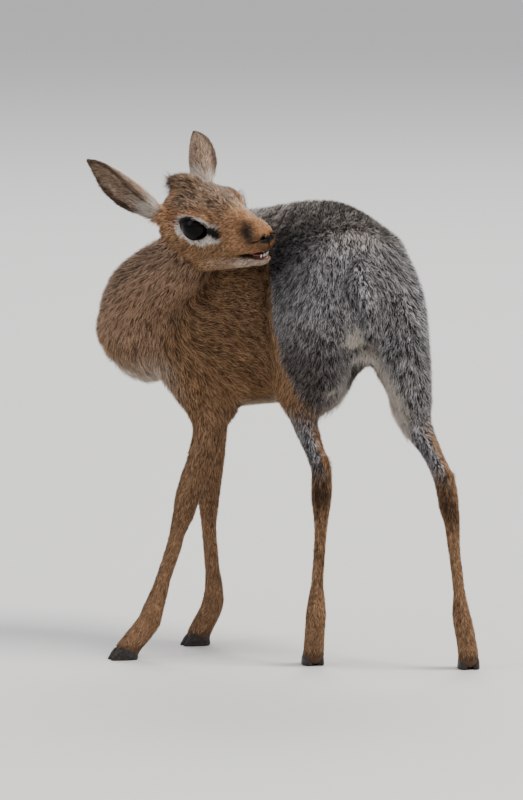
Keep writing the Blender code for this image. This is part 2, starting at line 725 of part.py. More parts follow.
def slab(centre, normal, across, size, thick=CUT_GAP):
    """A thin box on a plane: centre, normal and the way its width runs on the plan grid; size is width and height."""
    n = Vector(way_to_part(unit(normal)))
    a = Vector(way_to_part(across))
    a = (a - a.dot(n) * n).normalized()
    b = n.cross(a)
    c = Vector(to_part(centre)[0])
    bm = bmesh.new()
    bmesh.ops.create_cube(bm, size=1.0)
    m = Matrix([(*(a[i] * size[0] / 1000, b[i] * size[1] / 1000, n[i] * thick / 1000), c[i]) for i in range(3)] + [(0, 0, 0, 1)])
    bmesh.ops.transform(bm, matrix=m, verts=bm.verts)
    bmesh.ops.recalc_face_normals(bm, faces=bm.faces)
    mesh = bpy.data.meshes.new("cut")
    bm.to_mesh(mesh)
    bm.free()
    ob = bpy.data.objects.new("cut", mesh)
    bpy.context.scene.collection.objects.link(ob)
    ob.hide_render = True
    ob.display_type = "WIRE"
    return ob


def ball(name, centre, radius, segments, rings, look):
    """A sphere whose pole points along look."""
    mesh = bpy.data.meshes.new(name)
    bm = bmesh.new()
    bmesh.ops.create_uvsphere(bm, u_segments=segments, v_segments=rings, radius=radius / 1000)
    bm.to_mesh(mesh)
    bm.free()
    mesh.shade_smooth()
    ob = bpy.data.objects.new(name, mesh)
    bpy.context.scene.collection.objects.link(ob)
    ob.location = Vector(to_part(centre)[0])
    ob.rotation_mode = "QUATERNION"
    ob.rotation_quaternion = Vector(way_to_part(look)).to_track_quat("Z", "Y")
    return ob


CUTS = {  # centre and normal
    "hind_left_top": ((-9, 42, 217), (-0.05, 0.12, 0.99)),
    "hind_right_top": ((86, 32, 219), (0.05, 0.12, 0.99)),
    "front_left_top": ((-91, 92, 198), (-0.1, -0.15, 1)),
    "front_right_top": ((-88, 162, 198), (0, 0, 1)),
    "hind_left_hock": ((7, -14, 152), (0, 0.05, 1)),
    "hind_right_hock": ((115, -33, 149), (-0.15, 0.1, 1)),
    "front_left_knee": ((-110, 71, 133), (-0.3, -0.2, -1)),
    "front_right_knee": ((-91, 148, 133), (0, 0.15, 1)),
}


def ear_cut(side):
    root, axis, opens = EAR_SET[side]
    s = 1 if side == "right" else -1
    way = head_way(-axis[0], s * axis[1], axis[2])
    at = head_point(root[0], s * root[1], root[2]) + 10.5 * way
    return at - 1.0 * head_way(opens[0], s * opens[1], opens[2]), way


# ---------------------------------------------------------------- hooves
def claw_rings(foot, side):
    """Rings of one claw, from the sole up: a half-round toe in front, a rounded heel behind."""
    (x, y), way = TOES[foot]
    f = unit((way[0], way[1], 0))
    l = np.array([-f[1], f[0], 0.0])
    rings = []
    for z, toe, heel, wide, inner in ((0, 14.5, -9.5, CLAW_WIDTH, 0.55), (2.2, 13.9, -10.4, CLAW_WIDTH + 0.3, 0.5),
                                      (6.4, 11.2, -9.8, CLAW_WIDTH, 0.5), (HOOF_TOP - HOOF_GAP, 8.2, -8.2, CLAW_WIDTH - 0.9, 0.6)):
        ring = []
        n = 16
        for i in range(n):
            t = 2 * math.pi * i / n
            c, s = math.cos(t), math.sin(t)
            u = (toe if c > 0 else -heel) * abs(c) ** 0.85 * (1 if c > 0 else -1)
            v = 0.5 * wide * s
            v = v - 0.10 * max(u, 0) * (1 if s > 0 else 0.25)  # the outer wall closes in to the toe
            v = inner + 0.5 * wide + v
            ring.append((np.array([x, y, z]) + f * u + l * side * v))
        rings.append(ring)
    return rings


def hoof(name, foot, side):
    rings = [to_part(np.array(r)) for r in claw_rings(foot, side)]
    bm = bmesh.new()
    loops = []
    for r in rings:
        vs = [bm.verts.new(tuple(p)) for p in r]
        loops.append([bm.edges.new((vs[i], vs[(i + 1) % len(vs)])) for i in range(len(vs))])
    for a, b in zip(loops, loops[1:]):
        bmesh.ops.bridge_loops(bm, edges=a + b)
    bmesh.ops.contextual_create(bm, geom=loops[0])
    bmesh.ops.contextual_create(bm, geom=loops[-1])
    bmesh.ops.recalc_face_normals(bm, faces=bm.faces)
    mesh = bpy.data.meshes.new(name)
    bm.to_mesh(mesh)
    bm.free()
    mesh.materials.append(material("hoof"))
    mesh.shade_smooth()
    ob = bpy.data.objects.new(name, mesh)
    bpy.context.scene.collection.objects.link(ob)
    return ob


# ---------------------------------------------------------------- the whole animal, then its cuts
# one point well inside each piece, to know it by after the cuts
PIECES = {
    "head": head_point(70, 0, 0),
    "neck": (-155, 104, 299),
    "trunk": (-20, 95, 310),
    "tail": (45, -49, 308),
    "foreleg_upper_left": (-94, 86, 180),
    "foreleg_upper_right": (-88, 158, 180),
    "foreleg_lower_left": (-121, 63, 95),
    "foreleg_lower_right": (-90, 140, 90),
    "hindleg_upper_left": (-3, 16, 200),
    "hindleg_upper_right": (93, 12, 201),
    "hindleg_lower_left": (5, -12, 95),
    "hindleg_lower_right": (121, -33, 100),
}


def solid_of(name, shape, cell, low, high, triangles):
    """The surface of a shape as an even closed mesh, laid on the shape again and thinned."""
    points, quads = surface(shape, cell, low, high)
    ob = mesh_object(name, to_part(points), quads, "coat_tan")
    even = ob.modifiers.new("Even", "REMESH")
    even.mode, even.voxel_size, even.adaptivity = "VOXEL", 0.8 * cell / 1000, 0.0
    applied(ob)
    co = np.empty(len(ob.data.vertices) * 3)
    ob.data.vertices.foreach_get("co", co)
    points = settle(shape, from_part(co.reshape(-1, 3)))
    ob.data.vertices.foreach_set("co", to_part(points).reshape(-1))
    ob.data.update()
    ob.data.shade_smooth()
    return thinned(ob, triangles)


def thinned(ob, triangles):
    m = ob.modifiers.new("Thin", "DECIMATE")
    m.decimate_type = "COLLAPSE"
    m.ratio = triangles / (2 * len(ob.data.polygons))
    m.use_collapse_triangulate = True
    return applied(ob)


def cut_away(ob, cutters, spent):
    for c in cutters:
        m = ob.modifiers.new("Cut", "BOOLEAN")
        m.operation, m.object, m.solver = "DIFFERENCE", c, "EXACT"
        applied(ob)
    for c in spent:
        bpy.data.objects.remove(c)


def pieces_of(ob, wanted):
    """Splits a cut mesh into its separate pieces, named by the nearest wanted point."""
    bm = bmesh.new()
    bm.from_mesh(ob.data)
    bmesh.ops.triangulate(bm, faces=bm.faces)
    co = np.array([v.co for v in bm.verts])
    faces = np.array([[v.index for v in f.verts] for f in bm.faces])
    bm.free()
    label = np.arange(len(co))
    while True:  # each vertex takes the lowest label that it can reach
        low = label[faces].min(1)
        new = label.copy()
        for c in range(3):
            np.minimum.at(new, faces[:, c], low)
        new = new[new]
        if (new == label).all():
            break
        label = new
    roots = [r for r in np.unique(label) if (label == r).sum() > 30]
    taken = {}
    for name, p in wanted.items():
        p = to_part(p)[0]
        free = [r for r in roots if r not in taken.values()]
        if not free:
            print("no piece for", name)
            continue
        taken[name] = min(free, key=lambda r: np.linalg.norm(co[label == r] - p, axis=1).min() + 0.15 * np.linalg.norm(co[label == r].mean(0) - p))
    for name, r in taken.items():
        index = np.cumsum(label == r) - 1
        own = index[faces[label[faces[:, 0]] == r]]
        mesh_object(name, co[label == r], own, "coat_grey" if name in ("trunk", "tail") else "coat_tan")
    bpy.data.objects.remove(ob, do_unlink=True)
    print("pieces:", {n: (int((label == r).sum()), [round(float(c) * 1000) for c in co[label == r].mean(0)]) for n, r in taken.items()},
          "left over:", [(int((label == r).sum()), [round(float(c) * 1000) for c in co[label == r].mean(0)]) for r in np.unique(label) if r not in taken.values()])


def build():
    for ob in list(bpy.data.objects):
        bpy.data.objects.remove(ob, do_unlink=True)
    low, high = np.array([-215.0, -75.0, -8.0]), np.array([160.0, 215.0, 450.0])
    whole = solid_of("whole", body, CELL, low, high, BODY_TRIANGLES)
    low, high = HEAD_CUT[0] - [100.0, 185.0, 100.0], HEAD_CUT[0] + [155.0, 110.0, 150.0]
    front = solid_of("front", head, HEAD_CELL, low, high, HEAD_TRIANGLES)

    # the neck parts from the breast along the crease between them
    points, quads = surface(crease, 9.0, np.array([-215.0, 20.0, 190.0]), np.array([-60.0, 200.0, 410.0]), 0)
    quads = quads[body(points[quads].mean(1)) < 9.0]
    used = np.unique(quads)
    seam = mesh_object("seam", to_part(points[used]), np.searchsorted(used, quads), "coat_tan")
    seam.hide_render = True
    thinned(seam, 150)
    thick = seam.modifiers.new("Thick", "SOLIDIFY")
    thick.thickness, thick.offset = CUT_GAP / 1000, 0
    applied(seam)

    head_slab = fitted(neck_alone, HEAD_CUT[0], HEAD_CUT[1], LEFT)
    cutters = [fitted(body, *c, (1, 0, 0)) for c in CUTS.values()]
    cutters.append(fitted(body, (47, -57, 309), (0.06, -0.15, -0.98), (1, 0, 0), 17.0))  # the tail
    # below the hair line each leg gives way to its two claws
    for foot, ((x, y), _) in TOES.items():
        cutters.append(slab((x, y, HOOF_TOP / 2 - 12), (0, 0, 1), (1, 0, 0), (70, 70), HOOF_TOP + 24))
    cut_away(whole, cutters + [seam, head_slab], [seam] + cutters)
    tips = [fitted(head, *ear_cut(side), UP) for side in ("left", "right")]
    for side, s in (("left", -1), ("right", 1)):
        tips.append(ball("socket", eye_at(s), EYE_R + SOCKET_CLEAR, 16, 12, eye_look(s)))
        tips[-1].hide_render = True
        tips[-1].display_type = "WIRE"
    cut_away(front, [head_slab] + tips, [head_slab] + tips)
    wanted = {"head": PIECES["head"]}
    for side in ("left", "right"):
        root, axis, opens = EAR_SET[side]
        s = 1 if side == "right" else -1
        way = head_way(-axis[0], s * axis[1], axis[2])
        wanted["ear_" + side] = head_point(root[0], s * root[1], root[2]) + 45 * way
    pieces_of(front, wanted)
    # what still reaches into the head gives way to it
    shell = bpy.data.objects.new("shell", bpy.data.objects["head"].data.copy())
    bpy.context.scene.collection.objects.link(shell)
    shell.hide_render = True
    grow = shell.modifiers.new("Grow", "DISPLACE")
    grow.strength, grow.mid_level = CUT_GAP / 1000, 0.0
    applied(shell)
    cut_away(whole, [shell], [shell])
    pieces_of(whole, {n: p for n, p in PIECES.items() if n != "head"})

    for side, s in (("left", -1), ("right", 1)):
        eye = ball("eye_" + side, eye_at(s), EYE_R, 16, 12, eye_look(s))
        eye.data.materials.append(material("eye"))
    for foot in TOES:
        for side, s in (("outer", 1), ("inner", -1)):
            hoof(f"hoof_{foot}_{side}", foot, s if "left" in foot else -s)


build()
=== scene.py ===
"""The looks of the dik-dik: one skin, a coat of mesh tufts, eyes, hooves and mouth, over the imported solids.

The body is the same smooth shape as the solids', on the same plan grid in millimetres: its outer face is
the coat's outer face, and the skin lies inside it by the coat's depth.
"""

import json
import math

import bmesh
import bpy
import numpy as np
from mathutils import Matrix, Vector

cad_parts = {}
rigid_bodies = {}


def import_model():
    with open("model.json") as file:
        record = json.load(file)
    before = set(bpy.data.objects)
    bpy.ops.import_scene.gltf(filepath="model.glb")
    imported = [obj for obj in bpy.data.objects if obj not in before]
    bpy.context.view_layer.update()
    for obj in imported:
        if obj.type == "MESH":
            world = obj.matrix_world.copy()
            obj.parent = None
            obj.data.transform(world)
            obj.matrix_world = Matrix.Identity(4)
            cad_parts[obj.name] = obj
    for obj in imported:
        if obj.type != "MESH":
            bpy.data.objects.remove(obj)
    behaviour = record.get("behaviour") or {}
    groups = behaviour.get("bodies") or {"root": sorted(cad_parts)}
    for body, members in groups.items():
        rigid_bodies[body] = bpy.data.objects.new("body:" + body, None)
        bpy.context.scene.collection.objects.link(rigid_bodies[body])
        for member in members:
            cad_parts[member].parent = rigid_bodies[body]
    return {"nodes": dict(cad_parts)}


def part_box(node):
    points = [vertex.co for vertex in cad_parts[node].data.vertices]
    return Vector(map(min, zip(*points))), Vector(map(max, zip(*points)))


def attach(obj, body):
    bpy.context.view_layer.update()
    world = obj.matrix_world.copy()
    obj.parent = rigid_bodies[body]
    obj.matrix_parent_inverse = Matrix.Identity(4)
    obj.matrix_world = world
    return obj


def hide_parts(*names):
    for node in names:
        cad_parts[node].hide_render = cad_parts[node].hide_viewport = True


for ob in list(bpy.data.objects):
    bpy.data.objects.remove(ob, do_unlink=True)
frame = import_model()

# ---------------------------------------------------------------- driving sizes, millimetres
PLAN_TURN = 120.0  # degrees from the plan grid to the part's frame
PLAN_SHIFT = (-25.1, 53.4)  # the plan-grid point under the middle of the animal, which is the part's origin
CELL = 3.6  # size of the cells that the surface is drawn through
HEAD_CELL = 2.0  # the same for the head
BODY_TRIANGLES = 3630  # after thinning, before the cuts
HEAD_TRIANGLES = 1790
HEAD_CLEAR = 1.5  # from the jaw and muzzle to the flank beside them
CUT_GAP = 0.45  # width of the cuts that part the body
EYE_R = 13.2  # eyeball radius
EYE_AT = (67.0, 20.6, 13.0)  # back from the nose tip, out from the middle, up
LID = 1.7  # how far the lids stand over the ball
EYE_OPEN = (12.6, 8.6)  # half the length and half the height between the lids
EYE_SLANT = 12.0  # degrees that the inner corner dips
EYE_LOOK = (0.44, 0.89, 0.08)  # forward, outward, up
SOCKET_CLEAR = 0.35
EAR_LENGTH = 78.0
EAR_WALL = 4.0  # thickness with its hair
HOOF_TOP = 10.6  # height of the hair line above the sole
HOOF_GAP = 0.4
CLAW_LENGTH, CLAW_WIDTH = 25.0, 8.6

# ---------------------------------------------------------------- the trunk, from rump to breast
# x, y, centre height, half-width, up to the back, down to the belly
TRUNK = [
    (41, -33, 330, 22, 24, 24),
    (37, -17, 330, 41, 47, 44),
    (30, 6, 332, 50, 62, 62),
    (19, 38, 326, 54, 75, 78),
    (2, 68, 318, 54, 81, 88),
    (-24, 95, 308, 55, 84, 90),
    (-58, 115, 300, 55, 85, 87),
    (-92, 127, 294, 52, 80, 86),
    (-122, 132, 286, 47, 71, 78),
    (-144, 131, 276, 38, 56, 60),
    (-158, 127, 266, 27, 38, 40),
]
NECK = [
    (-104, 130, 304, 36, 46, 50),
    (-128, 129, 286, 36, 46, 48),
    (-147, 125, 277, 34, 36, 38),
    (-156, 116, 284, 31, 32, 34),
    (-155, 103, 299, 30, 33, 34),
    (-147, 89, 315, 29, 33, 33),
    (-132, 77, 329, 28, 32, 31),
    (-117, 71, 341, 28, 30, 30),
    (-104, 72, 354, 26, 29, 29),
]
TAIL = [
    (40, -30, 352, 10, 9, 10),
    (42, -42, 337, 10, 8, 9),
    (46, -53, 320, 9, 7, 7),
    (47, -57, 305, 8, 6, 7),
    (47, -57, 293, 5, 4, 5),
]
# ---------------------------------------------------------------- the legs, top to bottom
# x, y, z, half-width across, to the front, to the back
SHOULDER_L = [
    (-96, 114, 345, 14, 20, 24),
    (-116, 104, 302, 19, 26, 30),
    (-124, 99, 268, 20, 24, 30),
    (-104, 96, 238, 19, 24, 28),
    (-88, 94, 216, 15, 20, 20),
]
FORELEG_L = [
    (-96, 97, 240, 17, 24, 26),
    (-89, 94, 212, 14.5, 19, 19),
    (-91, 89, 190, 11.5, 15.5, 15),
    (-98, 82, 168, 10, 13, 13),
    (-104, 76, 152, 10, 12.5, 12),
    (-109, 72, 138, 10, 11.5, 11.5),
    (-112.5, 69, 124, 8.8, 10, 10),
    (-117.7, 66, 108, 6.8, 7.6, 7.8),
    (-121.5, 63, 94, 6.5, 7.2, 7.5),
    (-129, 58, 72, 6.5, 6.9, 7.2),
    (-134, 55, 57, 7.6, 7.6, 8.6),
    (-139.5, 52, 42, 8.8, 9.0, 10.5),
    (-143, 50, 33, 9.0, 9.4, 11.5),
    (-149, 47, 24, 9.0, 10, 11),
    (-156, 44.5, 15, 9.2, 10.5, 10),
    (-160, 43, 8, 9.2, 12, 10),
]
SHOULDER_R = [
    (-96, 148, 345, 14, 20, 24),
    (-114, 160, 302, 19, 26, 30),
    (-122, 166, 268, 20, 24, 30),
    (-104, 167, 240, 19, 24, 26),
    (-90, 165, 220, 15, 18, 18),
]
FORELEG_R = [
    (-98, 166, 242, 17, 24, 24),
    (-90, 164, 216, 14.5, 18, 18),
    (-88, 161, 192, 11.5, 15, 14.5),
    (-88, 156, 168, 10, 13, 12.5),
    (-89.5, 152, 152, 10, 12, 12),
    (-90.5, 149, 138, 10, 11.5, 11),
    (-91, 146, 122, 8.6, 9.5, 9.5),
    (-91, 143, 104, 6.6, 7.2, 7.6),
    (-89.8, 140, 86, 6.4, 6.8, 7.2),
    (-88, 137, 66, 6.5, 7.0, 7.4),
    (-87, 135.5, 52, 7.6, 8.0, 8.8),
    (-87.5, 134, 40, 8.8, 9.2, 10.5),
    (-90, 132.5, 31, 9.0, 9.4, 11),
    (-94, 131, 22, 9.0, 10, 10.5),
    (-98, 130, 13, 9.2, 11, 10),
    (-99, 129.5, 8, 9.2, 12, 10),
]
THIGH_L = [
    (10, 20, 350, 24, 36, 40),
    (-2, 22, 316, 30, 48, 54),
    (-1, 27, 280, 30, 49, 54),
    (-3, 36, 252, 26, 42, 50),
    (-8, 38, 228, 18, 32, 34),
]
HINDLEG_L = [
    (-15, 62, 248, 17, 20, 18),
    (-13, 52, 231, 16, 19, 22),
    (-8, 34, 212, 12, 15, 17),
    (-3, 16, 197, 9.6, 12, 13),
    (2, 2, 184, 8.6, 10, 12),
    (6, -9, 172, 8.8, 10, 13.5),
    (7, -14, 160, 9.2, 11, 12.5),
    (6.8, -15, 147, 9.0, 11, 10.5),
    (6.6, -14.5, 133, 7.2, 8.6, 8.6),
    (6.0, -13.5, 116, 5.7, 7.2, 7.2),
    (4.8, -12, 96, 5.4, 6.8, 7.0),
    (3.4, -10, 75, 5.6, 7.0, 7.2),
    (2.8, -8.5, 60, 7.6, 8.0, 8.6),
    (2.2, -7, 47, 9.0, 9.4, 11),
    (1.6, -3, 36, 9.0, 9.6, 11),
    (1.0, 1.5, 25, 8.9, 10, 10.5),
    (0.5, 5.5, 15, 9.2, 10.5, 10),
    (0.2, 8, 8, 9.2, 12, 10),
]
THIGH_R = [
    (56, 36, 350, 22, 34, 38),
    (67, 28, 316, 28, 42, 52),
    (73, 24, 280, 27, 45, 52),
    (80, 24, 252, 22, 38, 44),
    (85, 27, 230, 17, 30, 32),
]
HINDLEG_R = [
    (82, 50, 246, 16, 20, 18),
    (83, 42, 230, 16, 19, 22),
    (87.5, 27, 214, 15, 17, 19),
    (93, 12, 201, 12, 13, 14),
    (98.5, 0, 192, 10, 11, 12.5),
    (104, -11, 182, 8.8, 10, 12),
    (110, -24, 169, 8.8, 10, 13),
    (114, -31, 156, 9.4, 11, 13),
    (116, -34, 143, 9.0, 11, 10.5),
    (118.5, -34.5, 129, 7.2, 8.8, 8.8),
    (120.5, -33.5, 106, 5.6, 7.2, 7.2),
    (123, -31.5, 86, 5.4, 6.8, 7.0),
    (125, -29.5, 68, 5.7, 7.0, 7.2),
    (126.6, -27.5, 51, 8.0, 8.6, 10),
    (129, -24, 38, 8.8, 9.4, 10.6),
    (131.3, -20, 26, 8.8, 10, 10),
    (133, -16.5, 15, 9.0, 10.5, 10),
    (133.5, -15, 8, 9.0, 12, 10),
]
TOES = {  # where each foot stands and which way its toes point
    "front_left": ((-163.0, 42.0), (-0.95, -0.31)),
    "front_right": ((-101.0, 129.0), (-0.93, -0.36)),
    "hind_left": ((-0.5, 10.5), (-0.30, 0.95)),
    "hind_right": ((133.5, -12.5), (-0.22, 0.975)),
}

# ---------------------------------------------------------------- the head, in its own axes
# Nose tip on the plan grid, and the head's forward, left and up directions.
NOSE = (-38.5, -8.0, 369.5)
HEAD_YAW, HEAD_PITCH, HEAD_ROLL = -48.0, -2.5, 16.5
# back from the nose: top, bottom, height of the widest place, half-width
HEAD = [
    (0, 4.6, -4.5, -1, 6.3),
    (1.5, 9.4, -7.5, -1, 9.0),
    (4, 12.8, -9.6, -1, 10.8),
    (9, 16.8, -12.0, -1, 13.0),
    (16, 19.6, -13.2, -1, 14.8),
    (24, 22.4, -14.5, -1, 16.2),
    (34, 26.5, -17.5, 0, 18.2),
    (44, 31.0, -22.0, 3, 21.4),
    (54, 35.6, -26.0, 7, 25.0),
    (63, 39.2, -29.5, 10, 28.2),
    (72, 42.0, -32.5, 11, 30.0),
    (82, 43.6, -35.0, 10, 30.6),
    (92, 43.0, -36.0, 8, 30.2),
    (102, 39.6, -34.0, 6, 29.0),
    (112, 33.0, -29.0, 4, 25.5),
    (120, 24.0, -20.0, 2, 18.5),
    (125, 14.0, -10.0, 2, 10.0),
]
# back, centre height, half-width, up, down
JAW = [
    (8.5, -17.8, 5.0, 3.2, 3.6),
    (13, -18.8, 7.2, 4.2, 5.0),
    (22, -19.4, 9.6, 5.0, 6.0),
    (34, -20.6, 12.0, 7.0, 7.2),
    (48, -22.0, 15.5, 9.0, 8.4),
    (64, -24.0, 18.5, 10.0, 9.0),
    (80, -26.0, 20.0, 11.0, 10.0),
]
# share of the length: half the width round the curve, radius of the curve
EAR = [
    (0.0, 9.0, 7.5),
    (0.12, 12.5, 9.5),
    (0.26, 18.5, 12.5),
    (0.42, 21.5, 15.0),
    (0.58, 20.2, 16.5),
    (0.74, 15.2, 17.5),
    (0.88, 7.8, 18.0),
    (1.0, 0.9, 18.0),
]
# root (back, out, up from the nose tip), its axis (back, out, up) and the way it opens (forward, out, up)
EAR_SET = {
    "right": ((106.0, 24.0, 22.0), (0.55, 0.44, 0.71), (0.25, 0.84, -0.52)),
    "left": ((106.0, 24.0, 22.0), (0.66, 0.60, 0.45), (0.25, 0.86, -0.42)),
}


def unit(v):
    v = np.asarray(v, float)
    return v / np.linalg.norm(v)


def head_axes():
    """Forward, left and up of the head on the plan grid."""
    y, p, r = (math.radians(a) for a in (HEAD_YAW, HEAD_PITCH, HEAD_ROLL))
    forward = np.array([math.cos(y) * math.cos(p), math.sin(y) * math.cos(p), math.sin(p)])
    level = np.array([-math.sin(y), math.cos(y), 0.0])
    up = np.cross(forward, level)
    left = math.cos(r) * level + math.sin(r) * up
    return forward, left, np.cross(forward, left)


FWD, LEFT, UP = head_axes()
NOSE_AT = np.array(NOSE, float)


def head_point(back, right, up):
    return NOSE_AT - back * FWD - right * LEFT + up * UP


def head_way(forward, right, up):
    return unit(forward * FWD - right * LEFT + up * UP)


# ---------------------------------------------------------------- smooth curves through stations
def through(rows, step):
    """Rows of numbers resampled along a smooth curve through them, about step apart in their first three."""
    rows = np.array(rows, float)
    ends = np.vstack([2 * rows[0] - rows[1], rows, 2 * rows[-1] - rows[-2]])
    found = []
    for i in range(1, len(ends) - 2):
        a, b, c, d = ends[i - 1 : i + 3]
        n = max(2, int(np.linalg.norm((c - b)[:3]) / step))
        t = (np.arange(n) / n)[:, None]
        found.append(0.5 * (2 * b + (c - a) * t + (2 * a - 5 * b + 4 * c - d) * t**2 + (3 * b - 3 * c + d - a) * t**3))
    found.append(rows[-1:])
    return np.vstack(found)


def eased(rows, at):
    """Columns of rows interpolated smoothly at the places of the first column."""
    rows = np.array(rows, float)
    x = rows[:, 0]
    i = np.clip(np.searchsorted(x, at) - 1, 0, len(x) - 2)
    h = x[i + 1] - x[i]
    t = np.clip((at - x[i]) / h, 0, 1)
    slope = np.gradient(rows[:, 1:], x, axis=0)
    out = []
    for c in range(rows.shape[1] - 1):
        y, m = rows[:, c + 1], slope[:, c]
        out.append(
            (2 * t**3 - 3 * t**2 + 1) * y[i] + (t**3 - 2 * t**2 + t) * h * m[i]
            + (-2 * t**3 + 3 * t**2) * y[i + 1] + (t**3 - t**2) * h * m[i + 1]
        )
    return out


# ---------------------------------------------------------------- shapes as distances
class Tube:
    """A bent tube whose section changes along it. facing is the way its third half-size points."""

    def __init__(self, rows, facing, step=3.0):
        s = through(rows, step)
        self.at, self.size = s[:, :3], s[:, 3:]
        way = np.gradient(self.at, axis=0)
        self.way = way / np.linalg.norm(way, axis=1)[:, None]
        face = np.asarray(facing, float)
        face = face - (self.way @ face)[:, None] * self.way
        self.face = face / np.linalg.norm(face, axis=1)[:, None]
        self.side = np.cross(self.face, self.way)
        reach = self.size.max()
        self.low, self.high = self.at.min(0) - reach, self.at.max(0) + reach

    def __call__(self, p):
        near = np.empty(len(p), int)
        for i in range(0, len(p), 60000):
            q = p[i : i + 60000]
            near[i : i + 60000] = np.argmin((self.at**2).sum(1) - 2 * q @ self.at.T, axis=1)
        last = len(self.at) - 1
        gap = p - self.at[near]
        along = (gap * self.way[near]).sum(1)
        other = np.clip(near + np.where(along > 0, 1, -1), 0, last)
        hop = np.linalg.norm(self.at[other] - self.at[near], axis=1)
        t = np.where(other == near, 0.0, np.clip(np.abs(along) / np.maximum(hop, 1e-6), 0, 1))[:, None]
        c = self.at[near] * (1 - t) + self.at[other] * t
        size = self.size[near] * (1 - t) + self.size[other] * t
        face = self.face[near] * (1 - t) + self.face[other] * t
        side = self.side[near] * (1 - t) + self.side[other] * t
        gap = p - c
        u, v = (gap * side).sum(1), (gap * face).sum(1)
        w = np.where(other == near, along, 0.0)
        a = size[:, 0]
        b = np.where(v > 0, size[:, 1], size[:, 2])
        cap = 0.8 * size.min(1)
        return egg(u, v, w, a, b, cap)


def egg(u, v, w, a, b, c):
    r2 = (u / a) ** 2 + (v / b) ** 2 + (w / c) ** 2
    r = np.sqrt(r2) + 1e-9
    g = np.sqrt((u / a**2) ** 2 + (v / b**2) ** 2 + (w / c**2) ** 2) + 1e-9
    return (r - 1) * np.minimum(r / g, np.maximum(np.maximum(a, b), c))


class Lump:
    """An egg with half-sizes along three ways at right angles."""

    def __init__(self, centre, sizes, ways=((1, 0, 0), (0, 1, 0), (0, 0, 1))):
        self.c, self.s = np.asarray(centre, float), sizes
        x = unit(ways[0])
        y = unit(np.asarray(ways[1], float) - np.dot(ways[1], x) * x)
        self.m = np.array([x, y, np.cross(x, y)])
        self.low, self.high = self.c - max(sizes), self.c + max(sizes)

    def __call__(self, p):
        u, v, w = ((p - self.c) @ self.m.T).T
        return egg(u, v, w, *(np.float64(s) for s in self.s))


class Skull:
    """The head above the mouth, as sections along its length."""

    low, high = NOSE_AT - 175, NOSE_AT + 175

    def __call__(self, p):
        q = p - NOSE_AT
        back, right, up = -(q @ FWD), -(q @ LEFT), q @ UP
        end = HEAD[-1][0]
        a = np.clip(back, 0, end)
        top, bottom, mid, wide = eased(HEAD, a)
        v = up - mid
        b = np.where(v > 0, top - mid, mid - bottom)
        n = np.where(v > 0, 2.15, 1.9)
        u, v = np.abs(right) / wide, np.abs(v) / b
        r = (u**n + v**n + 1e-12) ** (1 / n)
        g = r ** (1 - n) * np.sqrt((u ** (n - 1) / wide) ** 2 + (v ** (n - 1) / b) ** 2) + 1e-9
        d = (r - 1) * np.minimum(1 / g, np.maximum(wide, b))
        past = back - a
        return np.where(np.abs(past) > 1e-9, np.sqrt(np.maximum(d, 0) ** 2 + past**2), d)


class Ear:
    """A cupped leaf of even thickness."""

    def __init__(self, root, axis, opens, wall=EAR_WALL):
        self.root, self.axis, self.wall = root, unit(axis), wall
        o = np.asarray(opens, float)
        self.opens = unit(o - np.dot(o, self.axis) * self.axis)
        self.across = np.cross(self.axis, self.opens)
        tip = root + EAR_LENGTH * self.axis
        self.low, self.high = np.minimum(root, tip) - 38, np.maximum(root, tip) + 38

    def __call__(self, p):
        q = p - self.root
        s = q @ self.axis
        t = np.clip(s / EAR_LENGTH, 0, 1)
        half, curve = eased(EAR, t)
        half = np.maximum(half, 0.5)
        bow = 5.0 * np.sin(np.pi * t)  # the back of the ear bulges
        x, y = q @ self.across, q @ self.opens - curve + bow
        angle = np.arctan2(np.abs(x), -y)
        most = half / curve
        d_arc = np.abs(np.hypot(x, y) - curve)
        d_end = np.hypot(np.abs(x) - curve * np.sin(most), y + curve * np.cos(most))
        d = np.where(angle < most, d_arc, d_end)
        past = s - t * EAR_LENGTH
        return np.sqrt(d**2 + past**2) - self.wall / 2


def melt(a, b, k):
    h = np.maximum(k - np.abs(a - b), 0) / k
    return np.minimum(a, b) - h * h * k / 4


def carve(a, b, k):
    """a with b taken away."""
    return -melt(-a, b, k)


def leg_facing(name):
    x, y = TOES[name][1]
    return (x, y, 0.0)


def eye_at(side):
    return head_point(EYE_AT[0], side * EYE_AT[1], EYE_AT[2])


def eye_look(side):
    return head_way(EYE_LOOK[0], side * EYE_LOOK[1], EYE_LOOK[2])


def eye_axes(side):
    """The eye's own ways: towards the inner corner, up, and out."""
    look = eye_look(side)
    fore = FWD - (FWD @ look) * look
    fore = unit(fore)
    rise = np.cross(look, fore) * (1 if np.cross(look, fore) @ UP > 0 else -1)
    t = math.radians(EYE_SLANT)
    return math.cos(t) * fore - math.sin(t) * rise, math.cos(t) * rise + math.sin(t) * fore, look


def jaw_rows():
    rows = []
    for back, c, wide, up, down in JAW:
        rows.append((*head_point(back, 0, c), wide, up, down))
    return rows


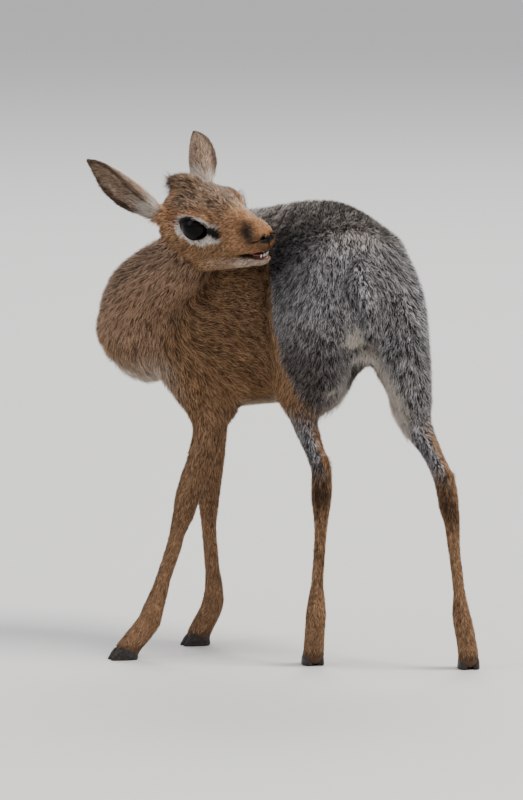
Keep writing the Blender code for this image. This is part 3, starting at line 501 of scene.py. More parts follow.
def make_body():
    """The shapes in the order in which they are melted together, each with its blend width."""
    parts = [
        (Tube(TRUNK, (0, 0, 1)), 0),
        (Tube(THIGH_L, leg_facing("hind_left")), 22),
        (Tube(THIGH_R, leg_facing("hind_right")), 22),
        (Tube(SHOULDER_L, (-1, 0, 0)), 20),
        (Tube(SHOULDER_R, (-1, 0, 0)), 20),
        (Tube(HINDLEG_L, leg_facing("hind_left")), 12),
        (Tube(HINDLEG_R, leg_facing("hind_right")), 12),
        (Tube(FORELEG_L, leg_facing("front_left")), 12),
        (Tube(FORELEG_R, leg_facing("front_right")), 12),
        (Lump((-20, 74, 258), (13, 24, 26), ((1, 0.3, 0), (-0.3, 1, 0))), 20),  # flank fold
        (Lump((66, 62, 262), (13, 22, 24), ((1, 0.3, 0), (-0.3, 1, 0))), 20),
        (Tube(TAIL, (0, -1, 0)), 5),
        (Lump((10, -24.5, 177), (5.2, 5.5, 12), ((1, 0, 0), (0, 1, 0.25))), 6),  # point of the hock
        (Lump((116, -42.5, 166), (5.2, 5.5, 12), ((1, 0, 0), (0, 1, 0.25))), 6),
        (Lump((-76, 99, 217), (9, 9, 12)), 10),  # point of the elbow
        (Lump((-74, 167, 220), (9, 9, 12)), 10),
        (Lump((15, 27, 247), (17, 15, 27), ((1, 0, -0.22), (0, 1, 0))), 15),  # the hair behind the left thigh
        (Tube(NECK, (-0.3, -0.05, 0.95)), 14),
    ]
    head = [
        (Skull(), 0),
        (Tube(jaw_rows(), UP), 5),
        (Lump(head_point(66, 23.0, 25), (13, 6.5, 5.5), (head_way(1, -0.35, -0.25), head_way(0.3, 1, 0))), 7),  # brows
        (Lump(head_point(66, -23.0, 25), (13, 6.5, 5.5), (head_way(1, 0.35, -0.25), head_way(0.3, -1, 0))), 7),
        (Lump(head_point(97, 0, 42), (17, 11, 8), (FWD, LEFT)), 10),  # crest
    ]
    for side, (root, axis, opens) in EAR_SET.items():
        s = 1 if side == "right" else -1
        head.append((Ear(head_point(root[0], s * root[1], root[2]), head_way(-axis[0], s * axis[1], axis[2]),
                         head_way(opens[0], s * opens[1], opens[2])), 7))
    return parts, head


PARTS, HEAD_PARTS = make_body()
NECK_PIECE = Tube(NECK[3:], (-0.3, -0.05, 0.95))


def joined(p, parts, reach):
    d = np.full(len(p), 1e3)
    for shape, k in parts:
        m = reach + k
        inside = ((p > shape.low - m) & (p < shape.high + m)).all(1)
        if inside.any():
            q = shape(p[inside])
            d[inside] = melt(d[inside], q, k) if k else np.minimum(d[inside], q)
    return d


HEAD_CUT = (head_point(107, 0, -6), head_way(0.9, 0, 0.43))  # behind the jaw and the ears


def body(p, reach=12.0):
    """Distance to the coat's outer face without the head, which ends a little past its cut."""
    trunk = joined(p, PARTS[:-1], reach)
    past = (p - HEAD_CUT[0]) @ HEAD_CUT[1]
    skull = joined(p, HEAD_PARTS[:2], reach + 15)
    tube = joined(p, [(PARTS[-1][0], 0)], reach + 15)
    neck = melt(tube, np.maximum(skull, past - 8.0), 9.0)
    # past its cut, the back and the head that lies along it press each other flat
    whole_head = melt(tube, skull, 9.0)
    apart = np.minimum(np.maximum(trunk, trunk - whole_head + HEAD_CLEAR), np.maximum(neck, neck - trunk + HEAD_CLEAR))
    return np.where(past > 0.0, apart, melt(trunk, neck, 14.0))


def neck_alone(p):
    return melt(PARTS[-1][0](p), np.maximum(HEAD_PARTS[0][0](p), (p - HEAD_CUT[0]) @ HEAD_CUT[1] - 8.0), 9.0)


def crease(p, reach=12.0):
    """Zero half-way between the neck and what it lies against."""
    neck = NECK_PIECE(p)
    rest = np.minimum(np.minimum(PARTS[0][0](p), PARTS[3][0](p)), PARTS[8][0](p))
    return neck - rest


def head(p, reach=12.0):
    """Distance to the coat's outer face of the head and the neck behind it."""
    d = melt(joined(p, [(PARTS[-1][0], 0)], reach), joined(p, HEAD_PARTS, reach), 9.0)
    d = np.maximum(d, (HEAD_CUT[0] - p) @ HEAD_CUT[1] - 9.0)  # a little behind the cut is enough
    d = np.maximum(d, d - joined(p, PARTS[:-1], reach + 15) + HEAD_CLEAR)
    q = p - NOSE_AT
    back, right, up = -(q @ FWD), -(q @ LEFT), q @ UP
    for side in (-1, 1):  # the lids stand round the ball and leave an almond between them
        g = p - eye_at(side)
        close = (g**2).sum(1) < 30**2
        if close.any():
            g = g[close]
            fore, rise, look = eye_axes(side)
            a, b, c = g @ fore, g @ rise, g @ look
            lids = melt(d[close], np.sqrt((g**2).sum(1)) - EYE_R - LID, 7.0)
            almond = (np.sqrt((a / EYE_OPEN[0]) ** 2 + (b / EYE_OPEN[1]) ** 2) - 1) * EYE_OPEN[1]
            d[close] = carve(lids, np.maximum(almond, 0.45 * EYE_R - c), 1.0)
    near = (np.abs(back - 20) < 40) & (np.abs(right) < 40)
    if near.any():  # the mouth: a slit to its corner, open a little in front
        b, r, u = back[near], right[near], up[near]
        line = -14.4 - 0.035 * b
        gap = np.interp(b, [2, 8, 20, 34], [2.6, 2.4, 0.9, 0.3])
        slit = np.maximum(np.abs(u - line) - gap, np.maximum(b - 33, -b - 2))
        d[near] = carve(d[near], slit, 0.8)
    return d


# ---------------------------------------------------------------- from distances to a mesh
def cells_near(shape, size, low, high, levels):
    """The cells of the finest size that the surface may cross, found by halving larger ones."""
    step = size * 2**levels
    n = np.ceil((high - low) / step).astype(int)
    cells = np.stack(np.meshgrid(*(np.arange(k) for k in n), indexing="ij"), -1).reshape(-1, 3)
    for level in range(levels, -1, -1):
        step = size * 2**level
        d = shape(low + (cells + 0.5) * step, reach=step * 1.3 + 12)
        cells = cells[np.abs(d) < step * 1.5 + 3.0]
        if level:
            cells = (cells[:, None] * 2 + np.array([(i, j, k) for i in (0, 1) for j in (0, 1) for k in (0, 1)])).reshape(-1, 3)
    return cells


def key(c):
    return (c[:, 0] * 4096 + c[:, 1]) * 4096 + c[:, 2]


def surface(shape, size, low, high, levels=3):
    """Vertices and quads of the surface, by one vertex in each cell that it crosses."""
    cells = cells_near(shape, size, low, high, levels)
    corner = np.array([(i, j, k) for i in (0, 1) for j in (0, 1) for k in (0, 1)])
    axes = np.eye(3, dtype=int)
    for _ in range(12):
        all_corners = (cells[:, None] + corner).reshape(-1, 3)
        names, first, back = np.unique(key(all_corners), return_index=True, return_inverse=True)
        value = shape(low + all_corners[first] * size)
        v = value[back.reshape(-1)].reshape(-1, 8)
        crossed = (v < 0).any(1) & (v >= 0).any(1)
        cells, v = cells[crossed], v[crossed]
        order = np.argsort(key(cells))
        cells, v = cells[order], v[order]
        keys = key(cells)
        rings, missing = [], []
        for axis in range(3):
            o1, o2 = axes[(axis + 1) % 3], axes[(axis + 2) % 3]
            a, b = v[:, 0], v[:, 4 >> axis]
            cut = (a < 0) != (b < 0)
            c = cells[cut]
            around = (c, c - o1, c - o1 - o2, c - o2)
            ring = [np.minimum(np.searchsorted(keys, key(x)), len(keys) - 1) for x in around]
            there = [keys[r] == key(x) for r, x in zip(ring, around)]
            missing += [x[~t] for x, t in zip(around, there)]
            q = np.stack(ring, 1)[np.all(there, axis=0)]
            turned = (a[cut] >= 0)[np.all(there, axis=0)]
            q[turned] = q[turned][:, ::-1]
            rings.append(q)
        missing = np.vstack(missing)
        if not levels or not len(missing):
            break
        missing = missing[np.unique(key(missing), return_index=True)[1]]
        cells = np.vstack([cells, missing])  # the ring is closed with the cells that were passed over
    total, count = np.zeros((len(cells), 3)), np.zeros(len(cells))
    for i in range(8):
        for axis in range(3):
            j = i | (4 >> axis)
            if j == i:
                continue
            a, b = v[:, i], v[:, j]
            cut = (a < 0) != (b < 0)
            t = a[cut] / (a[cut] - b[cut])
            total[cut] += corner[i] + t[:, None] * (corner[j] - corner[i])
            count[cut] += 1
    return low + (cells + total / count[:, None]) * size, np.vstack(rings)


def settle(shape, points, rounds=2, e=0.05):
    """Moves points onto the surface along its slope."""
    for _ in range(rounds):
        d = shape(points)
        g = np.stack([(shape(points + e * a) - d) / e for a in np.eye(3)], 1)
        g2 = np.maximum((g**2).sum(1), 0.25)
        points = points - (np.clip(d, -3, 3) / g2)[:, None] * g
    return points


# ---------------------------------------------------------------- the part's frame, and the rings of the claws
TURN = math.radians(PLAN_TURN)
SHIFT = np.array([-PLAN_SHIFT[0], -PLAN_SHIFT[1], 0.0])
PLAN = np.array([[math.cos(TURN), -math.sin(TURN), 0], [math.sin(TURN), math.cos(TURN), 0], [0, 0, 1]])


def to_part(p):
    """Plan-grid millimetres to the part's frame in metres."""
    return ((np.atleast_2d(p) - [PLAN_SHIFT[0], PLAN_SHIFT[1], 0.0]) @ PLAN.T) / 1000


def from_part(p):
    return (np.asarray(p) * 1000) @ PLAN + [PLAN_SHIFT[0], PLAN_SHIFT[1], 0.0]


def way_to_part(v):
    return np.asarray(v, float) @ PLAN.T


def claw_rings(foot, side):
    """Rings of one claw, from the sole up: a half-round toe in front, a rounded heel behind."""
    (x, y), way = TOES[foot]
    f = unit((way[0], way[1], 0))
    l = np.array([-f[1], f[0], 0.0])
    rings = []
    for z, toe, heel, wide, inner in ((0, 14.5, -9.5, CLAW_WIDTH, 0.55), (2.2, 13.9, -10.4, CLAW_WIDTH + 0.3, 0.5),
                                      (6.4, 11.2, -9.8, CLAW_WIDTH, 0.5), (HOOF_TOP - HOOF_GAP, 8.2, -8.2, CLAW_WIDTH - 0.9, 0.6)):
        ring = []
        n = 16
        for i in range(n):
            t = 2 * math.pi * i / n
            c, s = math.cos(t), math.sin(t)
            u = (toe if c > 0 else -heel) * abs(c) ** 0.85 * (1 if c > 0 else -1)
            v = 0.5 * wide * s
            v = v - 0.10 * max(u, 0) * (1 if s > 0 else 0.25)  # the outer wall closes in to the toe
            v = inner + 0.5 * wide + v
            ring.append((np.array([x, y, z]) + f * u + l * side * v))
        rings.append(ring)
    return rings



# ---------------------------------------------------------------- the whole body as one shape
TRUNK_TUBE, NECK_TUBE, TAIL_TUBE = PARTS[0][0], PARTS[-1][0], PARTS[11][0]
LIMBS = [PARTS[i][0] for i in (1, 2, 3, 4, 5, 6, 7, 8)]
HEAD_REACH = 26.0


def ease(x, a, b):
    t = np.clip((x - a) / (b - a), 0, 1)
    return t * t * (3 - 2 * t)


def head_places(p):
    q = p - NOSE_AT
    return -(q @ FWD), -(q @ LEFT), q @ UP


def features(p, d):
    """Lids, nostrils and mouth, worked into the head's distance."""
    back, right, up = head_places(p)
    for side in (-1, 1):
        g = p - eye_at(side)
        close = (g**2).sum(1) < 30**2
        if close.any():
            g = g[close]
            fore, rise, look = eye_axes(side)
            a, b, c = g @ fore, g @ rise, g @ look
            ball = np.sqrt((g**2).sum(1)) - EYE_R - LID
            lids = melt(d[close], ball, 6.0)
            # a fold above and below, a little way out from the rim
            r = np.sqrt((a / EYE_OPEN[0]) ** 2 + (b / EYE_OPEN[1]) ** 2)
            rim = np.exp(-(((r - 1.14) / 0.10) ** 2)) * (c > 0)
            fold = np.exp(-(((r - 1.42) / 0.09) ** 2)) * (c > 0)
            lids = lids - 0.55 * rim + 0.5 * fold
            # the inner corner runs on as a narrow groove
            groove = np.maximum(np.abs(b + 0.22 * (a - 11)) - np.interp(a, [9, 13, 19], [3.0, 2.2, 0.4]), np.abs(a - 14) - 5.5)
            almond = (r - 1) * EYE_OPEN[1]
            d[close] = carve(lids, np.maximum(almond, 0.30 * EYE_R - c), 0.5)
            d[close] = np.where(c > 0, carve(d[close], np.maximum(groove, EYE_R - 3.0 - c), 1.2), d[close])
        # the nostril: a comma on the side of the nose
        n = p - head_point(2.6, side * 4.3, 4.4)
        nostril = close = (n**2).sum(1) < 14**2
        if close.any():
            n = n[close]
            x, y, z = n @ FWD, -(n @ LEFT) * side, n @ UP
            hole = np.sqrt((x / 3.4) ** 2 + ((y + 0.4 * z) / 1.7) ** 2 + ((z - 0.3 * y) / 2.3) ** 2)
            d[close] = carve(d[close], (hole - 1) * 1.7, 0.8)
            slit = np.sqrt(((x + 2.6) / 3.6) ** 2 + ((y - 3.0) / 3.2) ** 2 + ((z + 1.2 + 0.5 * (y - 3.0)) / 0.7) ** 2)
            d[close] = carve(d[close], (slit - 1) * 0.7, 0.5)
    near = (np.abs(back - 20) < 40) & (np.abs(right) < 40)
    if near.any():
        b, r, u = back[near], right[near], up[near]
        line = np.interp(b, [0, 8, 16, 26, 34], [-12.4, -12.8, -13.9, -14.9, -15.2])
        gap = np.interp(b, [0, 8, 16, 26, 34], [3.4, 3.1, 1.5, 0.6, 0.25])
        slit = np.maximum(np.abs(u - line) - gap, np.maximum(b - 33, -b - 2))
        part = carve(d[near], slit, 0.8)
        # the groove down the middle of the nose and lip
        philtrum = np.maximum(np.abs(r) - 0.35, np.maximum(b - 5.5, u - 2.0))
        d[near] = carve(part, philtrum, 0.9)
    return d


def depth_of(p, d_head, d_rest):
    """How deep the coat lies over the skin."""
    back, right, up = head_places(p)
    z = p[:, 2]
    body_depth = np.interp(z, [0, 20, 120, 165, 200, 222, 250, 300], [0.5, 0.9, 1.1, 1.5, 2.3, 3.2, 4.6, 5.2])
    tail = ease(3.0 - TAIL_TUBE(p), 0, 5) * ease(-p[:, 1], 30, 38)
    body_depth = body_depth * (1 - tail) + 2.0 * tail
    head_depth = np.interp(back, [0, 6, 16, 40, 70, 95, 125, 150], [0.15, 0.4, 0.9, 1.3, 1.8, 2.7, 4.0, 4.8])
    w = ease(d_rest - d_head, -4.0, 8.0)
    depth = body_depth * (1 - w) + head_depth * w
    ear = np.minimum(EARS[0](p), EARS[1](p))
    depth = np.where(w > 0, depth * ease(ear, 0.0, 7.0) + 0.6 * (1 - ease(ear, 0.0, 7.0)), depth)
    for side in (-1, 1):
        g = np.sqrt(((p - eye_at(side)) ** 2).sum(1))
        k = ease(g, EYE_R + 2.0, EYE_R + 12.0)
        depth = depth * k + 0.35 * (1 - k)
    mouth = ease(np.sqrt((back - 12) ** 2 / 4 + (up + 13.8) ** 2 + (np.abs(right) * 0.2) ** 2), 2.0, 7.0)
    depth = np.where((back < 36) & (w > 0.5), 0.25 + (depth - 0.25) * mouth, depth)
    return depth


EARS = [HEAD_PARTS[-2][0], HEAD_PARTS[-1][0]]


def outer(p, reach=12.0):
    """Distance to the coat's outer face of the whole animal, and of the head alone and the rest alone."""
    trunk = joined(p, PARTS[:-1], reach)
    tube = joined(p, [(NECK_TUBE, 0)], reach)
    skull = joined(p, HEAD_PARTS, reach)
    back, right, up = head_places(p)
    close = (back < 60) & (skull < 30)
    if close.any():
        skull[close] = features(p[close], skull[close])
    front = melt(tube, skull, 9.0)
    past = (p - HEAD_CUT[0]) @ HEAD_CUT[1]
    clear = -14.0 + 15.5 * ease(past, -14.0, 5.0)
    k = 1.5 + 12.5 * ease(-past, -2.0, 26.0)
    whole = melt(np.maximum(trunk, trunk - front + clear), np.maximum(front, front - trunk + clear), 1.0)
    h = np.maximum(k - np.abs(trunk - front), 0) / k
    merged = np.minimum(trunk, front) - h * h * k / 4
    f = ease(past, -8.0, 2.0)
    return merged * (1 - f) + whole * f, skull, np.minimum(trunk, tube)


def skin_shape(p, reach=12.0):
    d, d_head, d_rest = outer(p, reach + 8)
    near = np.abs(d) < reach + 12
    out = d.copy()
    if near.any():
        out[near] = d[near] + depth_of(p[near], d_head[near], d_rest[near])
    return out


# ---------------------------------------------------------------- soft pseudo-random fields
rng = np.random.default_rng(41)


class Waves:
    """A smooth field of sums of sines, about -1 to 1."""

    def __init__(self, seed, size, count=9):
        r = np.random.default_rng(seed)
        k = r.normal(size=(count, 3))
        self.k = k / np.linalg.norm(k, axis=1)[:, None] * (2 * np.pi / size) * r.uniform(0.6, 1.6, (count, 1))
        self.f = r.uniform(0, 2 * np.pi, count)

    def __call__(self, p):
        out = np.zeros(len(p))
        for k, f in zip(self.k, self.f):
            out += np.sin(p @ k + f)
        return out / math.sqrt(len(self.f) / 2) / 1.6


PATCH, CLUMP_A, CLUMP_B, FINE = Waves(3, 46.0), Waves(5, 7.0), Waves(6, 7.0), Waves(8, 15.0)
CLUMP_C, CLUMP_D = Waves(15, 2.6), Waves(16, 2.6)
SPECK_A, SPECK_B = Waves(21, 3.4, 14), Waves(22, 2.2, 14)


# ---------------------------------------------------------------- where a point is on the body
class Along:
    """Place along and round a tube for many points."""

    def __init__(self, tube, p):
        near = np.empty(len(p), int)
        for i in range(0, len(p), 60000):
            q = p[i : i + 60000]
            near[i : i + 60000] = np.argmin((tube.at**2).sum(1) - 2 * q @ tube.at.T, axis=1)
        length = np.concatenate([[0], np.cumsum(np.linalg.norm(np.diff(tube.at, axis=0), axis=1))])
        gap = p - tube.at[near]
        self.way = tube.way[near]
        self.s = length[near] + (gap * self.way).sum(1)
        u, v = (gap * tube.side[near]).sum(1), (gap * tube.face[near]).sum(1)
        self.u, self.v = u, v
        self.angle = np.arctan2(u, v)
        self.total = length[-1]
        size = tube.size[near]
        self.r = np.sqrt((u / size[:, 0]) ** 2 + (v / np.where(v > 0, size[:, 1], size[:, 2])) ** 2)
        self.d = (self.r - 1) * size[:, 0]


def rgb(r, g, b):
    return np.array([r, g, b], float)


# named colours of the coat, linear
TAN, TAN_PALE, TAN_DARK = rgb(0.44, 0.235, 0.11), rgb(0.64, 0.41, 0.24), rgb(0.10, 0.048, 0.022)
FACE, FACE_PALE, FACE_DARK = rgb(0.36, 0.176, 0.080), rgb(0.64, 0.385, 0.225), rgb(0.055, 0.028, 0.014)
BROWN, BROWN_PALE, BROWN_DARK = rgb(0.20, 0.108, 0.055), rgb(0.40, 0.25, 0.145), rgb(0.055, 0.028, 0.014)
GREY, GREY_PALE, GREY_DARK = rgb(0.122, 0.110, 0.109), rgb(0.80, 0.757, 0.755), rgb(0.022, 0.020, 0.021)
LEG, LEG_PALE, LEG_DARK = rgb(0.32, 0.18, 0.095), rgb(0.56, 0.36, 0.22), rgb(0.065, 0.033, 0.017)
WHITE, WHITE_SHADE = rgb(0.74, 0.68, 0.61), rgb(0.45, 0.38, 0.31)
UMBER, BLACK = rgb(0.055, 0.030, 0.017), rgb(0.010, 0.009, 0.009)
PINK = rgb(0.20, 0.088, 0.078)


def to_line(p, line):
    """Distance from points to a bent line, seen from behind."""
    best = np.full(len(p), 1e3)
    q = p[:, [0, 2]]
    for a, b in zip(line, line[1:]):
        a, b = np.array(a, float), np.array(b, float)
        t = np.clip(((q - a) @ (b - a)) / ((b - a) @ (b - a)), 0, 1)
        best = np.minimum(best, np.linalg.norm(q - a - t[:, None] * (b - a), axis=1))
    return best


def seat_line(p):
    """The pale hair down the inner edges of the haunches."""
    right = to_line(p, ((36, 292), (49, 270), (61, 247), (70, 226), (77, 208)))
    left = to_line(p, ((34, 262), (31, 246), (27, 228), (16, 218)))
    return np.clip(1.25 * np.exp(-((right / 6.5) ** 2)) + 0.35 * np.exp(-((left / 6.0) ** 2)), 0, 1) * ease(-p[:, 1], -60, -35)


def paint(p, normal):
    """The coat's markings, with some painted shade and a painted highlight: middle, pale and dark colours at each
    point, and the share of dark tips.
    """
    n = len(p)
    trunk, neck = Along(TRUNK_TUBE, p), Along(NECK_TUBE, p)
    back, right, up = head_places(p)
    z = p[:, 2]
    wave, fine = PATCH(p), FINE(p)
    body = [np.tile(c, (n, 1)) for c in (BROWN, BROWN_PALE, BROWN_DARK)]
    share = np.full(n, 0.45)

    def lay(w, colours, dark):
        nonlocal share
        w = np.clip(w, 0, 1)
        for i, c in enumerate(colours):
            body[i] = body[i] * (1 - w[:, None]) + c * w[:, None]
        share = share * (1 - w) + dark * w

    d_trunk = np.minimum(np.minimum(trunk.d, LIMBS[0](p)), LIMBS[1](p))
    d_neck = NECK_TUBE(p)
    d_skull = joined(p, HEAD_PARTS, 60.0)
    # shoulder and ribs: warm brown, redder low down
    low = ease(-z, -300, -235)
    lay(np.ones(n), (BROWN * 1.25, BROWN_PALE * 1.25, BROWN_DARK), 0.40)
    lay(0.5 * low, (TAN * 0.8, TAN_PALE * 0.85, TAN_DARK), 0.35)
    # the grey of the rump reaches forward along the back
    edge = 106 - 0.20 * (335 - z) + 8 * wave + 4 * fine
    high = ease(z, 330, 385)
    soft = 10 * ease(p[:, 0], 30, 60)
    grey = ease((edge + 80 * high - trunk.s) / (1 + 0.09 * soft), -14, 13)
    lay(grey, (GREY, GREY_PALE, GREY_DARK), 0.58)
    # the lower left haunch browner and darker: partly browner hair, partly painted shade on the side that faces away
    # from the light
    haunch_brown_and_shade = ease(-z, -312, -262) * ease(-p[:, 0], -40, 0) * grey
    lay(0.85 * haunch_brown_and_shade, (BROWN * 0.27, rgb(0.21, 0.175, 0.16), GREY_DARK * 0.7), 0.66)
    top = ease(z, 345, 392) * grey
    lay(0.6 * top, (rgb(0.20, 0.158, 0.122), rgb(0.68, 0.575, 0.475), GREY_DARK), 0.42)
    saddle = ease(z, 325, 372) * (1 - grey)
    lay(0.55 * saddle, (GREY * 0.9, TAN_PALE * 0.8, GREY_DARK), 0.5)
    # a pale tan streak just in front of the grey on the flank, a painted highlight where light catches the flank fold
    streak = np.exp(-(((trunk.s - edge - 9) / 5.0) ** 2)) * (1 - high) * ease(z, 235, 262)
    lay(0.85 * streak, (TAN * 1.1, TAN_PALE * 1.1, TAN_DARK), 0.14)
    # thighs darker towards the flank in shade, browner at the bottom
    forward = ease(p[:, 1], 78, 100)
    lay(ease(-z, -262, -222) * forward * 0.8, (LEG, LEG_PALE, LEG_DARK), 0.3)
    # belly and inner thighs whitish
    under = ease(-normal[:, 2], 0.35, 0.8) * ease(z, 200, 215) * ease(-z, -330, -270) * ease(normal[:, 1], -0.62, -0.2)
    lay(0.85 * under, (WHITE_SHADE, WHITE, WHITE_SHADE * 0.6), 0.1)
    # buttocks: pale hair down the inner edges, either side of the tail
    seat = seat_line(p)
    lay(0.95 * seat, (WHITE_SHADE * 0.9, WHITE, GREY_DARK * 2), 0.16)
    # neck: tan with a grizzled nape, pale breast
    w_neck = ease(d_trunk - d_neck, -6, 8)
    lay(w_neck, (rgb(0.265, 0.15, 0.087), rgb(0.565, 0.38, 0.26), BROWN_DARK), 0.34)
    nape = ease(np.cos(neck.angle), 0.0, 0.9) * w_neck
    lay(0.6 * nape, (BROWN * 1.1, rgb(0.58, 0.42, 0.30), GREY_DARK), 0.46)
    breast = ease(-z, -272, -236) * ease(-p[:, 0], 112, 140) * ease(z, 200, 225)
    lay(0.85 * breast, (WHITE_SHADE, WHITE, TAN * 0.6), 0.14)
    # legs
    hind = (p[:, 0] > -40) & (p[:, 1] < 70)
    way = np.where(hind, 1.0, 0.0)
    tube_l, tube_r = LIMBS[4], LIMBS[5]
    beside = np.where(p[:, 0] < 47, p[:, 0] - np.interp(-z, -tube_l.at[:, 2], tube_l.at[:, 0]), p[:, 0] - np.interp(-z, -tube_r.at[:, 2], tube_r.at[:, 0]))
    rear = ease(beside, 0.5, 6.5) * ease(-z, -222, -196)
    legs = np.where(hind, np.maximum(rear, ease(-z, -188, -158)), ease(-z, -228, -196))
    lay(legs, (LEG, LEG_PALE, LEG_DARK), 0.30)
    lay(way * (1 - legs) * ease(-z, -232, -200), (GREY * 1.05, GREY_PALE * 0.85, GREY_DARK), 0.45)
    arm = (1 - way) * ease(-z, -232, -205) * ease(z, 135, 175)
    lay(0.4 * arm, (LEG, LEG_PALE, LEG_DARK), 0.5)
    lay(0.35 * legs * ease(-z, -125, -60), (LEG * 0.7, LEG_PALE * 0.72, UMBER), 0.36)
    lay(0.8 * seat * way, (WHITE_SHADE * 0.9, WHITE, GREY_DARK * 2), 0.16)
    inner = ease(-np.abs(beside + 0.5), -7.5, -4.0)
    hock = np.exp(-(((z - np.where(p[:, 0] < 47, 154, 146)) / 19.0) ** 2)) * way * (0.45 + 0.55 * inner) + 0.3 * np.exp(-(((z - 126) / 20.0) ** 2)) * (1 - way)
    lay(np.clip((0.95 + 0.3 * wave) * hock, 0, 1), (UMBER * 1.3, LEG * 0.6, UMBER * 0.8), 0.62)
    shade = way * ease(-z, -140, -90) * ease(z, 30, 70) * ease(wave + 0.5 * fine, -0.2, 0.8)
    lay(0.5 * shade, (UMBER * 1.8, LEG * 0.7, UMBER), 0.5)
    knee = np.exp(-(((z - 138) / 12.0) ** 2)) * (1 - way)
    lay(0.35 * knee, (LEG * 0.7, LEG_PALE * 0.8, UMBER), 0.3)
    pastern = ease(-z, -44, -18) * legs
    lay(0.5 * pastern, (LEG * 0.8, LEG_PALE * 0.85, UMBER), 0.35)
    crown = ease(-z, -17, -10)
    lay(0.8 * crown, (UMBER * 2, LEG * 0.6, UMBER), 0.5)
    # tail
    tail = ease(5.0 - TAIL_TUBE(p), 0, 5) * ease(-p[:, 1], 40, 50) * ease(-z, -335, -322)
    lay(tail, (GREY * 0.8, GREY_PALE * 0.7, GREY_DARK), 0.6)
    # ---- head
    on = ease(np.minimum(d_neck, d_trunk) - d_skull, -5, 7) * ease(-back, -150, -110)
    lay(on, (FACE, FACE_PALE, FACE_DARK), 0.33)
    cheek = ease(-up, -6, 4) * ease(back, 28, 44) * ease(-back, -112, -92) * on
    lay(0.7 * cheek, (BROWN * 0.9, TAN_PALE * 0.7, FACE_DARK), 0.42)
    side = np.abs(right)
    jaw = ease(-up, 4, 22) * on * ease(back, 12, 40)
    lay(0.4 * jaw, (TAN * 0.62, TAN_PALE * 0.85, TAN_DARK), 0.3)
    chin = ease(-up, 14, 18) * (ease(-back, -44, -20) + 0.35 * ease(-back, -80, -44)) * on
    lay(0.75 * np.clip(chin, 0, 1), (WHITE_SHADE * 0.85, WHITE * 0.9, TAN * 0.5), 0.25)
    fore = ease(up - np.interp(back, [20, 36, 62, 100], [17, 20, 28, 25]), -2, 6) * ease(back, 24, 44) * on
    lay(0.92 * fore, (BROWN * 0.65, rgb(0.58, 0.42, 0.30), BROWN_DARK * 0.5), 0.54)
    crest = np.exp(-((side / 7.0) ** 2)) * ease(back, 62, 84) * ease(up, 20, 34) * on
    lay(0.5 * crest, (UMBER * 1.8, TAN * 0.8, BLACK * 2), 0.65)
    band = np.exp(-(((back - 98 + 0.35 * (up - 30)) / 7.0) ** 2)) * ease(side, 6, 12) * ease(up, 8, 22) * on
    lay(0.8 * band, (FACE * 1.15, FACE_PALE * 1.1, FACE_DARK * 2), 0.2)
    bridge = ease(up, 8, 18) * ease(-back, -46, -34) * ease(back, 9, 15) * on * ease(-side, -12, -7)
    lay(0.35 * bridge, (TAN, TAN_PALE, TAN * 0.5), 0.2)
    # a dark patch on the side of the muzzle: partly dark short hair, partly painted shade of the snout's wrinkle
    muzzle_dark_and_shade = np.exp(-(((back - 12) / 7.0) ** 2 + ((up - 9.0 + 0.9 * (12 - back)) / 8.5) ** 2)) * ease(side, 2, 7) * on
    lay(np.clip(1.15 * muzzle_dark_and_shade, 0, 1), (UMBER * 1.1, BROWN * 0.6, BLACK * 1.5), 0.7)
    lip_at = np.interp(back, [0, 8, 16, 26, 34], [-12.4, -12.8, -13.9, -14.9, -15.2])
    lip_gap = np.interp(back, [0, 8, 16, 26, 34], [3.4, 3.1, 1.5, 0.6, 0.25])
    lip = ease(lip_gap + 1.7 - np.abs(up - lip_at), 0, 1.0) * ease(-back, -34, -28) * on
    lay(0.85 * lip, (UMBER, BROWN * 0.6, BLACK * 2), 0.6)
    for sgn in (-1, 1):
        g = p - eye_at(sgn)
        a_way, b_way, look = eye_axes(sgn)
        a, b, c = g @ a_way, g @ b_way, g @ look
        out_side = (c > 0) & ((g**2).sum(1) < 34**2)
        r = np.sqrt((a / EYE_OPEN[0]) ** 2 + (b / EYE_OPEN[1]) ** 2)
        # the white ring is thin over the eye and broad below and behind it
        wide = np.where(b > 0, 0.42, 0.36 + 0.34 * ease(-b, 0, 7)) + 0.10 * CLUMP_A(p)
        ring = ease(wide + 1.12 - r, 0.0, 0.30) * out_side
        under_gland = ease(1.0 - np.sqrt(((a - 17.0) / 13.0) ** 2 + ((b + 4.5) / 5.5) ** 2), 0.0, 0.35) * out_side
        over_gland = ease(1.0 - np.sqrt(((a - 17.0) / 11.0) ** 2 + ((b - 7.0) / 2.6) ** 2), 0.0, 0.5) * out_side
        lay(0.92 * np.maximum(ring, np.maximum(under_gland, 0.8 * over_gland)), (rgb(0.48, 0.43, 0.38), rgb(0.82, 0.79, 0.76), UMBER * 2), 0.13)
        brow = np.exp(-(((r - 1.95) / 0.16) ** 2)) * (b > 4) * out_side
        lay(0.5 * brow, (UMBER * 1.6, BROWN, UMBER), 0.7)
        rim = ease(np.where(b > 0, 1.25, 1.17) - r, 0.0, 0.07) * out_side
        lay(rim, (BLACK * 1.2, BLACK * 2, BLACK), 0.9)
